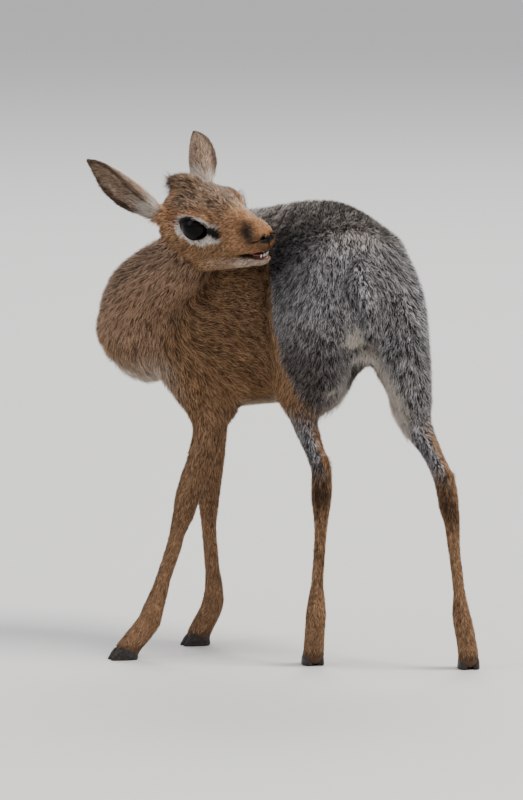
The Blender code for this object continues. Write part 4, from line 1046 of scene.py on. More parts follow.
        # the dark gland patch at the inner corner
        t = np.clip((a - 11.0) / 11.5, 0, 1)
        gland = ease(np.interp(t, [0, 0.5, 1], [3.2, 3.5, 4.9]) - np.hypot(a - 11.0 - 11.5 * t, b - 1.6 + 0.9 * t), -0.3, 0.7) * out_side
        lay(gland, (BLACK * 1.1, BLACK * 3, BLACK), 0.9)
    snout = ease(5.5 - back, 0, 3.5) * ease(-up, -9, -4) * on
    lay(0.6 * snout, (UMBER * 2, BROWN, UMBER), 0.5)
    nose = ease(3.0 - back, 0, 1.8) * ease(4.8 - 0.2 * side**1.3 - np.abs(up - 1.2), 0, 2.2) * on
    lay(nose, (BLACK * 1.6, BLACK * 2.4, BLACK), 0.9)
    nostril = ease(4.2 - np.sqrt((back - 3.2) ** 2 + (side - 4.9) ** 2 + (up - 3.4) ** 2), 0, 1.6) * on
    lay(nostril, (BLACK, BLACK * 2, BLACK), 0.9)
    # ---- ears
    for (name, (root, axis, opens)), shape in zip(EAR_SET.items(), EARS):
        q = p - shape.root
        t = (q @ shape.axis) / EAR_LENGTH
        d = shape(p)
        near = ease(5.0 - d, 0, 3.5) * ease(t, -0.02, 0.08)
        t = np.clip(t, 0, 1)
        half, curve = eased(EAR, t)
        bow = 5.0 * np.sin(np.pi * t)
        x, y = q @ shape.across, q @ shape.opens - curve + bow
        hollow = ease(curve - np.hypot(x, y), -0.4, 0.4)
        angle = np.abs(np.arctan2(x, -y)) * curve / np.maximum(half, 0.5)
        lay(near, (TAN * 0.85, TAN_PALE * 0.95, BROWN_DARK), 0.30)
        lay(near * (1 - hollow) * 0.5, (GREY * 1.9, WHITE_SHADE * 1.3, BROWN_DARK), 0.3)
        lay(near * hollow, (rgb(0.40, 0.28, 0.20), rgb(0.68, 0.54, 0.43), UMBER * 1.6), 0.28)
        rows = ease(np.cos(angle * 9.0), 0.1, 0.9) * ease(-t, -0.85, -0.55)
        lay(near * hollow * 0.42 * (1 - rows), (UMBER * 3, BROWN_PALE * 0.6, UMBER), 0.6)
        # dark ear margins: dark hair, partly painted shade in the inner fold of the rims
        ear_rim_dark_and_shade = ease(angle, 0.80, 0.96) + ease(t, 0.86, 0.96)
        lay(near * np.clip(ear_rim_dark_and_shade, 0, 1) * 0.75, (UMBER * 1.2, BROWN, BLACK * 2), 0.7)
        fluff = ease(-t, -0.30, -0.12) * ease(t, 0.0, 0.06) * np.clip(hollow + ease(angle, 0.5, 0.9), 0, 1)
        lay(near * fluff * 0.9, (WHITE_SHADE * 1.1, WHITE, WHITE_SHADE * 0.7), 0.08)
    return body[0], body[1], body[2], np.clip(share, 0, 1), dict(trunk=trunk, neck=neck, back=back, right=right, up=up,
                                                                d_trunk=d_trunk, d_neck=d_neck, d_skull=d_skull)


# ---------------------------------------------------------------- materials
def coloured(name, rough, sheen=0.0, spec=0.3, bump=0.0, bump_scale=900.0):
    m = bpy.data.materials.new(name)
    m.use_nodes = True
    t = m.node_tree
    s = t.nodes["Principled BSDF"]
    a = t.nodes.new("ShaderNodeAttribute")
    a.attribute_type, a.attribute_name = "GEOMETRY", "markings"
    t.links.new(a.outputs["Color"], s.inputs["Base Color"])
    s.inputs["Roughness"].default_value = rough
    s.inputs["Specular IOR Level"].default_value = spec
    if sheen:
        s.inputs["Sheen Weight"].default_value = sheen
        s.inputs["Sheen Roughness"].default_value = 0.5
    if bump:
        n, b = t.nodes.new("ShaderNodeTexNoise"), t.nodes.new("ShaderNodeBump")
        c = t.nodes.new("ShaderNodeTexCoord")
        t.links.new(c.outputs["Object"], n.inputs["Vector"])
        n.inputs["Scale"].default_value = bump_scale
        n.inputs["Detail"].default_value = 3.0
        b.inputs["Strength"].default_value = bump
        b.inputs["Distance"].default_value = 0.0006
        t.links.new(n.outputs["Fac"], b.inputs["Height"])
        t.links.new(b.outputs["Normal"], s.inputs["Normal"])
    return m


def plain(name, colour, rough, spec=0.5, coat=0.0):
    m = bpy.data.materials.new(name)
    m.use_nodes = True
    s = m.node_tree.nodes["Principled BSDF"]
    s.inputs["Base Color"].default_value = (*colour, 1)
    s.inputs["Roughness"].default_value = rough
    s.inputs["Specular IOR Level"].default_value = spec
    s.inputs["Coat Weight"].default_value = coat
    s.inputs["Coat Roughness"].default_value = 0.03
    return m


def quick_mesh(name, points, faces, mat, colours=None, normals=None, smooth=True):
    """A mesh from arrays of points in the part's frame (metres) and triangles or quads."""
    faces = np.asarray(faces, np.int32)
    k = faces.shape[1]
    mesh = bpy.data.meshes.new(name)
    mesh.vertices.add(len(points))
    mesh.vertices.foreach_set("co", np.asarray(points, np.float32).reshape(-1))
    mesh.loops.add(faces.size)
    mesh.loops.foreach_set("vertex_index", faces.reshape(-1))
    mesh.polygons.add(len(faces))
    mesh.polygons.foreach_set("loop_start", np.arange(0, faces.size, k, dtype=np.int32))
    mesh.update(calc_edges=True)
    if colours is not None:
        layer = mesh.color_attributes.new("markings", "FLOAT_COLOR", "POINT")
        c = np.ones((len(points), 4), np.float32)
        c[:, :3] = np.clip(colours, 0, 1)
        layer.data.foreach_set("color", c.reshape(-1))
    if smooth:
        mesh.shade_smooth()
    if normals is not None:
        mesh.normals_split_custom_set_from_vertices(np.asarray(normals, np.float32))
    mesh.materials.append(mat)
    ob = bpy.data.objects.new(name, mesh)
    bpy.context.scene.collection.objects.link(ob)
    return ob


BOXES = [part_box(n) for n in frame["nodes"]]
CAD_LOW = np.min([np.array(b[0]) for b in BOXES], axis=0)
CAD_HIGH = np.max([np.array(b[1]) for b in BOXES], axis=0)

# ---------------------------------------------------------------- the skin
LOW, HIGH = np.array([-215.0, -75.0, -8.0]), np.array([160.0, 215.0, 500.0])
FINE_SKIN = 1.7


def split_faces(points, tris, chosen):
    """Each chosen triangle becomes four, and its neighbours fit it."""
    edges = np.sort(np.vstack([tris[:, [0, 1]], tris[:, [1, 2]], tris[:, [2, 0]]]), axis=1)
    code = edges[:, 0] * np.int64(len(points)) + edges[:, 1]
    n = len(tris)
    cut = np.unique(code[np.tile(chosen, 3)])
    hit = np.isin(code, cut)
    mid_of = np.searchsorted(cut, code)
    a, b = (cut // len(points)).astype(int), (cut % len(points)).astype(int)
    mids = 0.5 * (points[a] + points[b])
    base = len(points)
    m = np.where(hit, base + mid_of, -1).reshape(3, n).T
    out = [tris[(m < 0).all(1)]]
    full = (m >= 0).all(1)
    t, q = tris[full], m[full]
    out += [np.stack(x, 1) for x in ((t[:, 0], q[:, 0], q[:, 2]), (t[:, 1], q[:, 1], q[:, 0]), (t[:, 2], q[:, 2], q[:, 1]), (q[:, 0], q[:, 1], q[:, 2]))]
    for i in range(3):
        j, k = (i + 1) % 3, (i + 2) % 3
        one = (m[:, i] >= 0) & (m[:, j] < 0) & (m[:, k] < 0)
        t, q = tris[one], m[one, i]
        out += [np.stack((t[:, i], q, t[:, k]), 1), np.stack((q, t[:, j], t[:, k]), 1)]
        two = (m[:, i] >= 0) & (m[:, j] >= 0) & (m[:, k] < 0)
        t, q, r = tris[two], m[two, i], m[two, j]
        out += [np.stack((t[:, i], q, t[:, k]), 1), np.stack((q, r, t[:, k]), 1), np.stack((q, t[:, j], r), 1)]
    return np.vstack([points, mids]), np.vstack(out)


def normals_of(points, tris):
    f = np.cross(points[tris[:, 1]] - points[tris[:, 0]], points[tris[:, 2]] - points[tris[:, 0]])
    n = np.zeros_like(points)
    for c in range(3):
        for x in range(3):
            n[:, x] += np.bincount(tris[:, c], weights=f[:, x], minlength=len(points))
    return n / np.maximum(np.linalg.norm(n, axis=1), 1e-12)[:, None], 0.5 * np.linalg.norm(f, axis=1)


def make_skin():
    points, quads = surface(skin_shape, FINE_SKIN, LOW, HIGH, 4)
    # keep the one large piece
    label = np.arange(len(points))
    while True:
        low = label[quads].min(1)
        new = label.copy()
        for c in range(4):
            np.minimum.at(new, quads[:, c], low)
        new = new[new]
        if (new == label).all():
            break
        label = new
    roots, counts = np.unique(label, return_counts=True)
    main = roots[np.argmax(counts)]
    print("skin pieces", len(roots), sorted(counts)[-4:])
    quads = quads[label[quads[:, 0]] == main]
    used = np.unique(quads)
    points, quads = points[used], np.searchsorted(used, quads)
    points = settle(skin_shape, points, 1)
    tris = np.vstack([quads[:, [0, 1, 2]], quads[:, [0, 2, 3]]])
    for rounds, reach in ((0, 46.0), (1, 19.0)):
        mid = points[tris].mean(1)
        back, right, up = head_places(mid)
        if rounds == 0:
            chosen = (back < 92) & (np.abs(right) < 36) & (np.abs(up) < 52) & (joined(mid, HEAD_PARTS, 20.0) < 6)
        else:
            chosen = np.zeros(len(mid), bool)
            for side in (-1, 1):
                chosen |= ((mid - eye_at(side)) ** 2).sum(1) < 21**2
            chosen |= (back < 13) & (np.abs(right) < 16) & (up > -22) & (up < 16)
        points, tris = split_faces(points, tris, chosen)
        moved = (label_near(points) if rounds == 0 else label_fine(points))
        points[moved] = settle(skin_shape, points[moved], 2)
    normal, area = normals_of(points, tris)
    return points, tris, normal, area


def label_near(p):
    back, right, up = head_places(p)
    return (back < 96) & (np.abs(right) < 40) & (np.abs(up) < 56)


def label_fine(p):
    back, right, up = head_places(p)
    near = (back < 16) & (np.abs(right) < 19)
    for side in (-1, 1):
        near |= ((p - eye_at(side)) ** 2).sum(1) < 24**2
    return near


points, tris, normal, area = make_skin()
print("skin", len(points), len(tris), "bounds", points.min(0).round(1), points.max(0).round(1))
mid_c, pale_c, dark_c, share, where = paint(points, normal)
skin_colour = mid_c * (1 - 0.35 * share[:, None]) + 0.35 * share[:, None] * dark_c
bare = (where["back"] < 7) & (np.abs(where["right"]) < 14)
skin = quick_mesh("skin", np.clip(to_part(points), CAD_LOW, CAD_HIGH), tris, coloured("skin", 0.62, 0.0, 0.35, 0.35, 1400.0), skin_colour * 0.82)
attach(skin, "root")
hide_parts("head", "ear_left", "ear_right", "neck", "trunk", "tail", "foreleg_upper_left", "foreleg_upper_right",
            "foreleg_lower_left", "foreleg_lower_right", "hindleg_upper_left", "hindleg_upper_right", "hindleg_lower_left",
            "hindleg_lower_right")

# ---------------------------------------------------------------- the coat
def lie_of(p, normal, where):
    """The way the hair runs: back over the head, from head to tail, and down the limbs."""
    ways = [(where["d_neck"], -where["neck"].way), (where["trunk"].d, -where["trunk"].way)]
    ways.append((where["d_skull"] - 1.0, np.tile(-FWD, (len(p), 1))))
    for tube in LIMBS:
        a = Along(tube, p)
        ways.append((tube(p), a.way))
    t = Along(TAIL_TUBE, p)
    ways.append((TAIL_TUBE(p) - 1.5, t.way))
    total = np.zeros_like(p)
    for d, way in ways:
        total += way * np.exp(-np.clip(d, -30, 60) / 7.0)[:, None]
    for shape in EARS:
        d = shape(p)
        t = ((p - shape.root) @ shape.axis) / EAR_LENGTH
        w = ease(5.0 - d, 0, 4) * ease(t, 0.0, 0.12)
        total = total * (1 - w[:, None]) / np.maximum(np.linalg.norm(total, axis=1), 1e-9)[:, None] + shape.axis * w[:, None] * 3
    total /= np.maximum(np.linalg.norm(total, axis=1), 1e-9)[:, None]
    # gravity draws the long hair of the sides and thighs down a little
    total[:, 2] -= 0.34 * ease(where["trunk"].d, -18, 6) * ease(p[:, 2], 200, 240)
    total[:, 2] -= 1.6 * ease(60 - where["trunk"].s, 0, 45) * ease(-p[:, 1], -50, -10) * ease(-p[:, 2], -385, -340) * ease(p[:, 2], 195, 215)
    # on the face the hair fans away from the nose and eyes
    for side in (-1, 1):
        g = p - eye_at(side)
        r = np.linalg.norm(g, axis=1)
        total += (g / np.maximum(r, 1e-6)[:, None]) * (0.8 * ease(30 - r, 0, 12))[:, None]
    total -= (total * normal).sum(1)[:, None] * normal
    return total / np.maximum(np.linalg.norm(total, axis=1), 1e-9)[:, None]


def roots_on(count, chosen, weight):
    """Evenly random places on the chosen triangles."""
    w = area * chosen * weight
    pick = rng.choice(len(tris), size=count, p=w / w.sum())
    r1, r2 = np.sqrt(rng.random(count)), rng.random(count)
    b = np.stack([1 - r1, r1 * (1 - r2), r1 * r2], 1)[:, :, None]
    return (points[tris[pick]] * b).sum(1), (normal[tris[pick]] * b).sum(1)


def tufts(name, count, chosen, weight, shape_of, unwrap, mat, colour=None, room=1.2):
    """Flat pointed tufts rooted on the skin. shape_of gives length, width and rise in millimetres."""
    root, n = roots_on(count, chosen, weight)
    n /= np.linalg.norm(n, axis=1)[:, None]
    mid_c, pale_c, dark_c, share, where = paint(root, n)
    lie = lie_of(root, n, where)
    length, width, rise, stray = shape_of(root, n, where)
    count = len(root)
    side = np.cross(n, lie)
    # neighbouring hairs draw together into locks, and stray a little
    turn = 0.30 * CLUMP_A(root) + 0.16 * CLUMP_C(root) + stray * rng.normal(size=count)
    lie = lie * np.cos(turn)[:, None] + side * np.sin(turn)[:, None]
    side = np.cross(n, lie)
    length = length * np.clip(1 + 0.16 * CLUMP_B(root) + 0.18 * rng.normal(size=count), 0.45, 1.5)
    rise = rise * np.clip(0.80 + 0.22 * CLUMP_D(root) + 0.22 * rng.normal(size=count), 0.25, 1.12)
    rise = np.minimum(rise, 0.85 * length)
    run = np.sqrt(np.maximum(length**2 - rise**2, 0.01))
    tip = root + lie * run[:, None] + n * rise[:, None]
    over = outer(tip)[0] - room
    tip -= n * np.clip(over, 0, rise + 1.0)[:, None]
    w = (width * rng.uniform(0.75, 1.25, count))[:, None]
    base = root - 0.35 * n
    thick = 0.42
    v = np.empty((count, 4, 3))
    v[:, 0], v[:, 1], v[:, 2], v[:, 3] = base - side * w / 2, base + side * w / 2, base + n * w * thick + lie * w * 0.3, tip
    # the broadest part of a tuft is a little way up
    v[:, 0] += lie * w * 0.2
    v[:, 1] += lie * w * 0.2
    pts = v.reshape(-1, 3)
    i = np.arange(count)[:, None] * 4
    faces = np.stack([i + [1, 0, 2], i + [0, 1, 3], i + [1, 2, 3], i + [2, 0, 3]], 1).reshape(-1, 3)
    scale, strength = 1.4, 0.55 + 0.45 * ease(-where["trunk"].s, -150, -90)
    if name in ("coat_head", "coat_ears", "coat_ear_fluff"):
        scale, strength = 2.1, np.full(count, 0.7 if name == "coat_head" else 0.4)
    speck = (SPECK_A(root * scale) + 0.6 * SPECK_B(root * scale)) * strength
    dark = rng.random(count) < np.clip(share + 0.42 * speck, 0.02, 0.98)
    tone = rng.uniform(0.75, 1.25, (count, 1)) * np.exp(-0.30 * speck + 0.10 * FINE(root))[:, None]
    tip_c = np.where(dark[:, None], dark_c * 1.1, pale_c) * tone
    root_c = (0.42 * mid_c + 0.45 * dark_c) * tone
    if colour is not None:
        root_c, tip_c = colour(root, root_c, tip_c)
    c = np.empty((count, 4, 3))
    c[:, 0] = c[:, 1] = root_c
    c[:, 2] = root_c * 0.55 + tip_c * 0.45
    c[:, 3] = tip_c
    own = np.empty((count, 4, 3))
    own[:, 0] = n * 0.9 - side * 0.45
    own[:, 1] = n * 0.9 + side * 0.45
    own[:, 2] = n
    own[:, 3] = n * 0.9 + lie * 0.25
    own /= np.linalg.norm(own, axis=2)[:, :, None]
    in_box = np.clip(to_part(pts), CAD_LOW + 0.0002, CAD_HIGH - 0.0002)
    ob = quick_mesh(name, in_box, faces, mat, c.reshape(-1, 3), way_to_part(own.reshape(-1, 3)))
    # the bake map: each tuft is a small patch at its root's place on the unwrapped skin
    uv = unwrap(root, where)
    lo, hi = np.percentile(uv, 0.2, axis=0), np.percentile(uv, 99.8, axis=0)
    uv = np.clip((uv - lo) / (hi - lo), 0, 1) * 0.99 + 0.005
    h = 0.0016
    corner = np.array([[-h, -h], [h, -h], [0, h], [0, -h / 3]])
    per_vertex = (uv[:, None, :] + corner[None]).reshape(-1, 2)
    layer = ob.data.uv_layers.new(name="OFBake")
    layer.data.foreach_set("uv", per_vertex[faces.reshape(-1)].astype(np.float32).reshape(-1))
    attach(ob, "root")
    print(name, count, "tufts", len(faces), "triangles")
    return ob


def main():
    share_of = 1.0
    mid = points[tris].mean(1)
    fn = normal[tris].mean(1)
    z = mid[:, 2]
    trunk = Along(TRUNK_TUBE, mid)
    back, right, up = head_places(mid)
    d_head = joined(mid, HEAD_PARTS, 60.0)
    d_neck, d_rest = NECK_TUBE(mid), joined(mid, PARTS[:-1], 60.0)
    ear_d = np.minimum(EARS[0](mid), EARS[1](mid))
    ear_t = np.maximum(*[((mid - e.root) @ e.axis) / EAR_LENGTH - 9 * (e(mid) > 6) for e in EARS])
    on_ear = (ear_d < 1.5) & (ear_t > 0.10)
    past = (mid - HEAD_CUT[0]) @ HEAD_CUT[1]
    on_head = ~on_ear & (past > -6) & (d_head < np.minimum(d_neck, d_rest) + 4)
    left = ~on_ear & ~on_head
    low = z < 212
    hind = (mid[:, 0] > -42) & (mid[:, 1] < 82)
    on_fore, on_hind = left & low & ~hind, left & low & hind
    left &= ~low
    on_tail = left & (TAIL_TUBE(mid) < 2.0) & (mid[:, 1] < -40) & (z < 335)
    left &= ~on_tail
    on_neck = left & (d_neck < d_rest)
    left &= ~on_neck
    on_rump = left & (trunk.s < 88)
    on_flank = left & (trunk.s >= 88) & (trunk.s < 160)
    on_shoulder = left & (trunk.s >= 160)
    for nm, ch in (("ear", on_ear), ("head", on_head), ("fore", on_fore), ("hind", on_hind), ("tail", on_tail), ("neck", on_neck), ("rump", on_rump), ("flank", on_flank), ("shoulder", on_shoulder)):
        print("area", nm, round(float((area * ch).sum())))

    fur = coloured("coat", 0.58, 0.0, 0.28)

    def body_shape(p, n, where):
        depth = np.interp(p[:, 2], [200, 222, 250, 300], [2.3, 3.2, 4.6, 5.2])
        rump = ease(130 - where["trunk"].s, 0, 50)
        return depth * (1.75 - 0.42 * rump) + 1.0, 0.66 - 0.12 * rump, depth * 0.95, 0.20 + 0.10 * rump

    def neck_shape(p, n, where):
        depth = np.interp(p[:, 2], [200, 240, 280], [4.0, 5.0, 5.0]) * np.clip(0.75 + 0.25 * ease(where["back"], 105, 150), 0, 1)
        return depth * 2.0 + 1.2, np.full(len(p), 0.66), depth * 0.98, 0.19

    def head_shape(p, n, where):
        depth = np.interp(where["back"], [0, 6, 16, 40, 70, 95, 125, 150], [0.3, 0.4, 0.9, 1.3, 1.8, 2.7, 4.0, 4.8])
        k = np.ones(len(p))
        for side in (-1, 1):
            g = np.sqrt(((p - eye_at(side)) ** 2).sum(1))
            k = np.minimum(k, 0.42 + 0.58 * ease(g, EYE_R + 2.0, EYE_R + 10.0))
        depth = depth * k
        crest = np.exp(-((where["right"] / 10.0) ** 2)) * ease(where["back"], 62, 80) * ease(where["up"], 24, 34)
        length = 1.7 + depth * 1.75
        return length * (1 + 0.6 * crest), np.interp(where["back"], [0, 20, 60, 120], [0.26, 0.36, 0.46, 0.62]), depth * 0.95 * (1 + 0.3 * crest), 0.16

    def ear_shape(p, n, where):
        t = np.maximum(*[((p - e.root) @ e.axis) / EAR_LENGTH - 9 * (e(p) > 6) for e in EARS])
        return 4.4 * (1 - 0.7 * ease(t, 0.82, 1.0)), np.full(len(p), 0.40), np.full(len(p), 0.72), 0.14

    def leg_shape(p, n, where):
        depth = np.interp(p[:, 2], [0, 20, 120, 165, 200, 222], [0.5, 0.8, 1.0, 1.5, 2.3, 3.2])
        return 2.8 + depth * 1.7, np.interp(p[:, 2], [10, 150, 210], [0.42, 0.48, 0.6]), depth * 0.95, 0.15

    def tail_shape(p, n, where):
        return np.full(len(p), 7.5), np.full(len(p), 0.6), np.full(len(p), 1.9), 0.2

    def by(tube):
        def uv(p, where):
            a = Along(tube, p)
            return np.stack([a.angle, a.s], 1)
        return uv

    def head_uv(p, where):
        return np.stack([np.arctan2(where["right"], where["up"] - 4), where["back"]], 1)

    def legs_uv(tubes):
        def uv(p, where):
            first, second = Along(tubes[0], p), Along(tubes[1], p)
            one = tubes[0](p) < tubes[1](p)
            return np.stack([np.where(one, first.angle, second.angle + 7.0), p[:, 2]], 1)
        return uv

    def ear_uv(p, where):
        a, b = EARS
        one = a(p) < b(p)
        out = np.empty((len(p), 2))
        for e, m, shift in ((a, one, 0.0), (b, ~one, 9.0)):
            q = p[m] - e.root
            out[m] = np.stack([np.arctan2(q @ e.across, q @ e.opens - 3) + shift, q @ e.axis], 1)
        return out

    ones = np.ones(len(tris))
    face_w = np.interp(back, [0, 40, 90, 130], [1.9, 1.35, 0.9, 0.7])
    bald = (back < 2.0) & (np.abs(up - 1.2) < 4.0 - 0.2 * np.abs(right) ** 1.3)
    for side in (-1, 1):
        g = mid - eye_at(side)
        a_way, b_way, look = eye_axes(side)
        a, b, c = g @ a_way, g @ b_way, g @ look
        bald |= (c > 0) & (np.sqrt((a / EYE_OPEN[0]) ** 2 + (b / EYE_OPEN[1]) ** 2) < 1.16) & ((g**2).sum(1) < 22**2)
    mouth = (back < 30) & (np.abs(up - np.interp(back, [0, 8, 16, 26, 34], [-12.4, -12.8, -13.9, -14.9, -15.2])) < np.interp(back, [0, 8, 16, 30], [3.9, 3.6, 2.1, 0.9]))
    plan = [
        ("coat_rump_left", 42000, on_rump & (mid[:, 0] < 38), ones, body_shape, by(TRUNK_TUBE)),
        ("coat_rump_right", 42000, on_rump & (mid[:, 0] >= 38), ones, body_shape, by(TRUNK_TUBE)),
        ("coat_flank", 44000, on_flank, ones, body_shape, by(TRUNK_TUBE)),
        ("coat_shoulder_low", 30000, on_shoulder & (z < 290), ones, body_shape, by(TRUNK_TUBE)),
        ("coat_shoulder_high", 30000, on_shoulder & (z >= 290), ones, body_shape, by(TRUNK_TUBE)),
        ("coat_neck", 26000, on_neck, ones, neck_shape, by(NECK_TUBE)),
        ("coat_head", 48500, on_head & ~bald & ~mouth, face_w, head_shape, head_uv),
        ("coat_ears", 26000, on_ear, ones, ear_shape, ear_uv),
        ("coat_forelegs", 33000, on_fore & (z > 10.8), ones, leg_shape, legs_uv((LIMBS[6], LIMBS[7]))),
        ("coat_hindlegs", 36000, on_hind & (z > 10.8), ones, leg_shape, legs_uv((LIMBS[4], LIMBS[5]))),
        ("coat_tail", 4500, on_tail, ones, tail_shape, by(TAIL_TUBE)),
    ]
    for name, count, chosen, weight, shape_of, unwrap in plan:
        tufts(name, int(count * share_of), chosen, weight, shape_of, unwrap, fur)

    # ---- long hair at chosen places
    def near_points(centres, radius):
        w = np.zeros(len(mid))
        for c, r in zip(centres, radius):
            w += np.exp(-((mid - c) ** 2).sum(1) / r**2)
        return w

    def fringe(name, count, where_w, length, rise, width=0.7, colour=None, unwrap=None):
        def shape(p, n, w):
            k = len(p)
            return np.full(k, length), np.full(k, width), np.full(k, rise), 0.22
        return tufts(name, count, where_w > 0.05, where_w, shape, unwrap or (lambda p, w: np.stack([p[:, 0], p[:, 2]], 1)), fur, colour, 3.0)

    seat_w = seat_line(mid) * (on_rump | on_flank | on_hind) * (z > 206)
    fringe("coat_seat_fringe", 5200, seat_w, 17.0, 4.6, 0.55, lambda r, a, b: (a * 0.5 + WHITE_SHADE * 0.35, b * 0.2 + WHITE * 0.95))
    crown_w = np.exp(-((back - 100) / 10) ** 2 - (right / 8) ** 2) * on_head * (up > 20)
    fringe("coat_crest", 1000, crown_w, 16.0, 2.6, 0.4, lambda r, a, b: (UMBER * 0.7 + a * 0.2, UMBER + b * 0.2))
    ear_w = near_points([EARS[0].root + 15 * EARS[0].axis, EARS[1].root + 15 * EARS[1].axis], [9, 9]) * (on_ear | on_head)
    fringe("coat_ear_fluff", 1600, ear_w, 9.0, 3.5, 0.4, lambda r, a, b: (a * 0.4 + WHITE_SHADE * 0.6, b * 0.25 + WHITE * 0.75))
    return fur


fur = main()

# ---------------------------------------------------------------- eyes
def ball_mesh(name, centre, radius, look, mat, segments=64, rings=40):
    mesh = bpy.data.meshes.new(name)
    bm = bmesh.new()
    bmesh.ops.create_uvsphere(bm, u_segments=segments, v_segments=rings, radius=radius / 1000)
    rot = Vector(way_to_part(look)).to_track_quat("Z", "Y").to_matrix().to_4x4()
    bmesh.ops.transform(bm, matrix=Matrix.Translation(Vector(to_part(centre)[0])) @ rot, verts=bm.verts)
    bm.to_mesh(mesh)
    bm.free()
    mesh.shade_smooth()
    mesh.materials.append(mat)
    ob = bpy.data.objects.new(name, mesh)
    bpy.context.scene.collection.objects.link(ob)
    return ob


for side, nm in ((-1, "left"), (1, "right")):
    eye = ball_mesh("eyeball_" + nm, eye_at(side), EYE_R - 0.05, eye_look(side), coloured("eye_" + nm, 0.04, 0.0, 0.30))
    co = np.empty(len(eye.data.vertices) * 3)
    eye.data.vertices.foreach_get("co", co)
    p = from_part(co.reshape(-1, 3)) - eye_at(side)
    a_way, b_way, look = eye_axes(side)
    a, b, c = p @ a_way, p @ b_way, p @ look
    ang = np.arctan2(np.hypot(a, b), c)
    slot_r = np.sqrt((a / 5.4) ** 2 + (b / 3.4) ** 2)
    iris = ease(1.02 - ang, 0, 0.12)[:, None]
    pupil = ease(1.15 - slot_r, 0, 0.25)[:, None] * (c > 0)[:, None]
    streak = (0.8 + 0.2 * np.sin(np.arctan2(b, a) * 37))[:, None]
    col = rgb(0.006, 0.004, 0.003) * (1 - iris) + rgb(0.009, 0.0045, 0.0025) * streak * iris
    col = col * (1 - pupil) + rgb(0.003, 0.003, 0.004) * pupil
    layer = eye.data.color_attributes.new("markings", "FLOAT_COLOR", "POINT")
    four = np.ones((len(p), 4), np.float32)
    four[:, :3] = col
    layer.data.foreach_set("color", four.reshape(-1))
    s = eye.data.materials[0].node_tree.nodes["Principled BSDF"]
    s.inputs["IOR"].default_value = 1.36
    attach(eye, "root")
    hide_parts("eye_" + nm)

# ---------------------------------------------------------------- hooves
horn = bpy.data.materials.new("horn")
horn.use_nodes = True
ht = horn.node_tree
hs = ht.nodes["Principled BSDF"]
hn, hr, hb, hc = ht.nodes.new("ShaderNodeTexNoise"), ht.nodes.new("ShaderNodeValToRGB"), ht.nodes.new("ShaderNodeBump"), ht.nodes.new("ShaderNodeTexCoord")
ht.links.new(hc.outputs["Object"], hn.inputs["Vector"])
hn.inputs["Scale"].default_value = 420.0
hn.inputs["Detail"].default_value = 5.0
ht.links.new(hn.outputs["Fac"], hr.inputs["Fac"])
hr.color_ramp.elements[0].position, hr.color_ramp.elements[1].position = 0.35, 0.72
hr.color_ramp.elements[0].color, hr.color_ramp.elements[1].color = (0.012, 0.010, 0.009, 1), (0.060, 0.047, 0.038, 1)
ht.links.new(hr.outputs["Color"], hs.inputs["Base Color"])
hs.inputs["Roughness"].default_value = 0.42
ht.links.new(hn.outputs["Fac"], hb.inputs["Height"])
hb.inputs["Strength"].default_value, hb.inputs["Distance"].default_value = 0.3, 0.0004
ht.links.new(hb.outputs["Normal"], hs.inputs["Normal"])


def fine_hoof(foot, side, node):
    rings = claw_rings(foot, side)
    n = 48
    table = []
    for ring in rings:
        r = np.array(ring)
        m = len(r)
        t = np.arange(n) / n * m
        i = t.astype(int)
        f = (t - i)[:, None]
        a, b, c, d = r[(i - 1) % m], r[i % m], r[(i + 1) % m], r[(i + 2) % m]
        table.append(0.5 * (2 * b + (c - a) * f + (2 * a - 5 * b + 4 * c - d) * f**2 + (3 * b - 3 * c + d - a) * f**3))
    levels = np.array([0, 0.25, 0.6, 1.0, 1.5, 2.0, 2.5, 2.85, 3.0])
    rows = []
    for lv in levels:
        i = min(int(lv), len(table) - 2)
        f = lv - i
        row = table[i] * (1 - f) + table[i + 1] * f
        centre = row.mean(0)
        inset = {0: 0.965, 3.0: 0.93}.get(float(lv), 1.0)
        grow = 1.0 - 0.012 * (1 + math.sin(lv * 9.0)) * (0.3 < lv < 2.9)
        row = centre + (row - centre) * [inset * grow, inset * grow, 1]
        rows.append(row)
    pts = np.vstack(rows + [rows[0].mean(0)[None], rows[-1].mean(0)[None]])
    quads = []
    for k in range(len(rows) - 1):
        for i in range(n):
            j = (i + 1) % n
            quads += [(k * n + i, k * n + j, (k + 1) * n + j), (k * n + i, (k + 1) * n + j, (k + 1) * n + i)]
    bot, top = len(rows) * n, len(rows) * n + 1
    for i in range(n):
        j = (i + 1) % n
        quads += [(bot, j, i), (top, (len(rows) - 1) * n + i, (len(rows) - 1) * n + j)]
    quads = np.array(quads)
    c = pts[quads].mean(1) - pts.mean(0)
    nn = np.cross(pts[quads[:, 1]] - pts[quads[:, 0]], pts[quads[:, 2]] - pts[quads[:, 0]])
    if (c * nn).sum() < 0:
        quads = quads[:, ::-1]
    ob = quick_mesh("claw_" + node[5:], to_part(pts), quads, horn)
    ob.data.set_sharp_from_angle(angle=math.radians(50))
    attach(ob, "root")
    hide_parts(node)


for foot in TOES:
    for nm, s in (("outer", 1), ("inner", -1)):
        fine_hoof(foot, s if "left" in foot else -s, f"hoof_{foot}_{nm}")

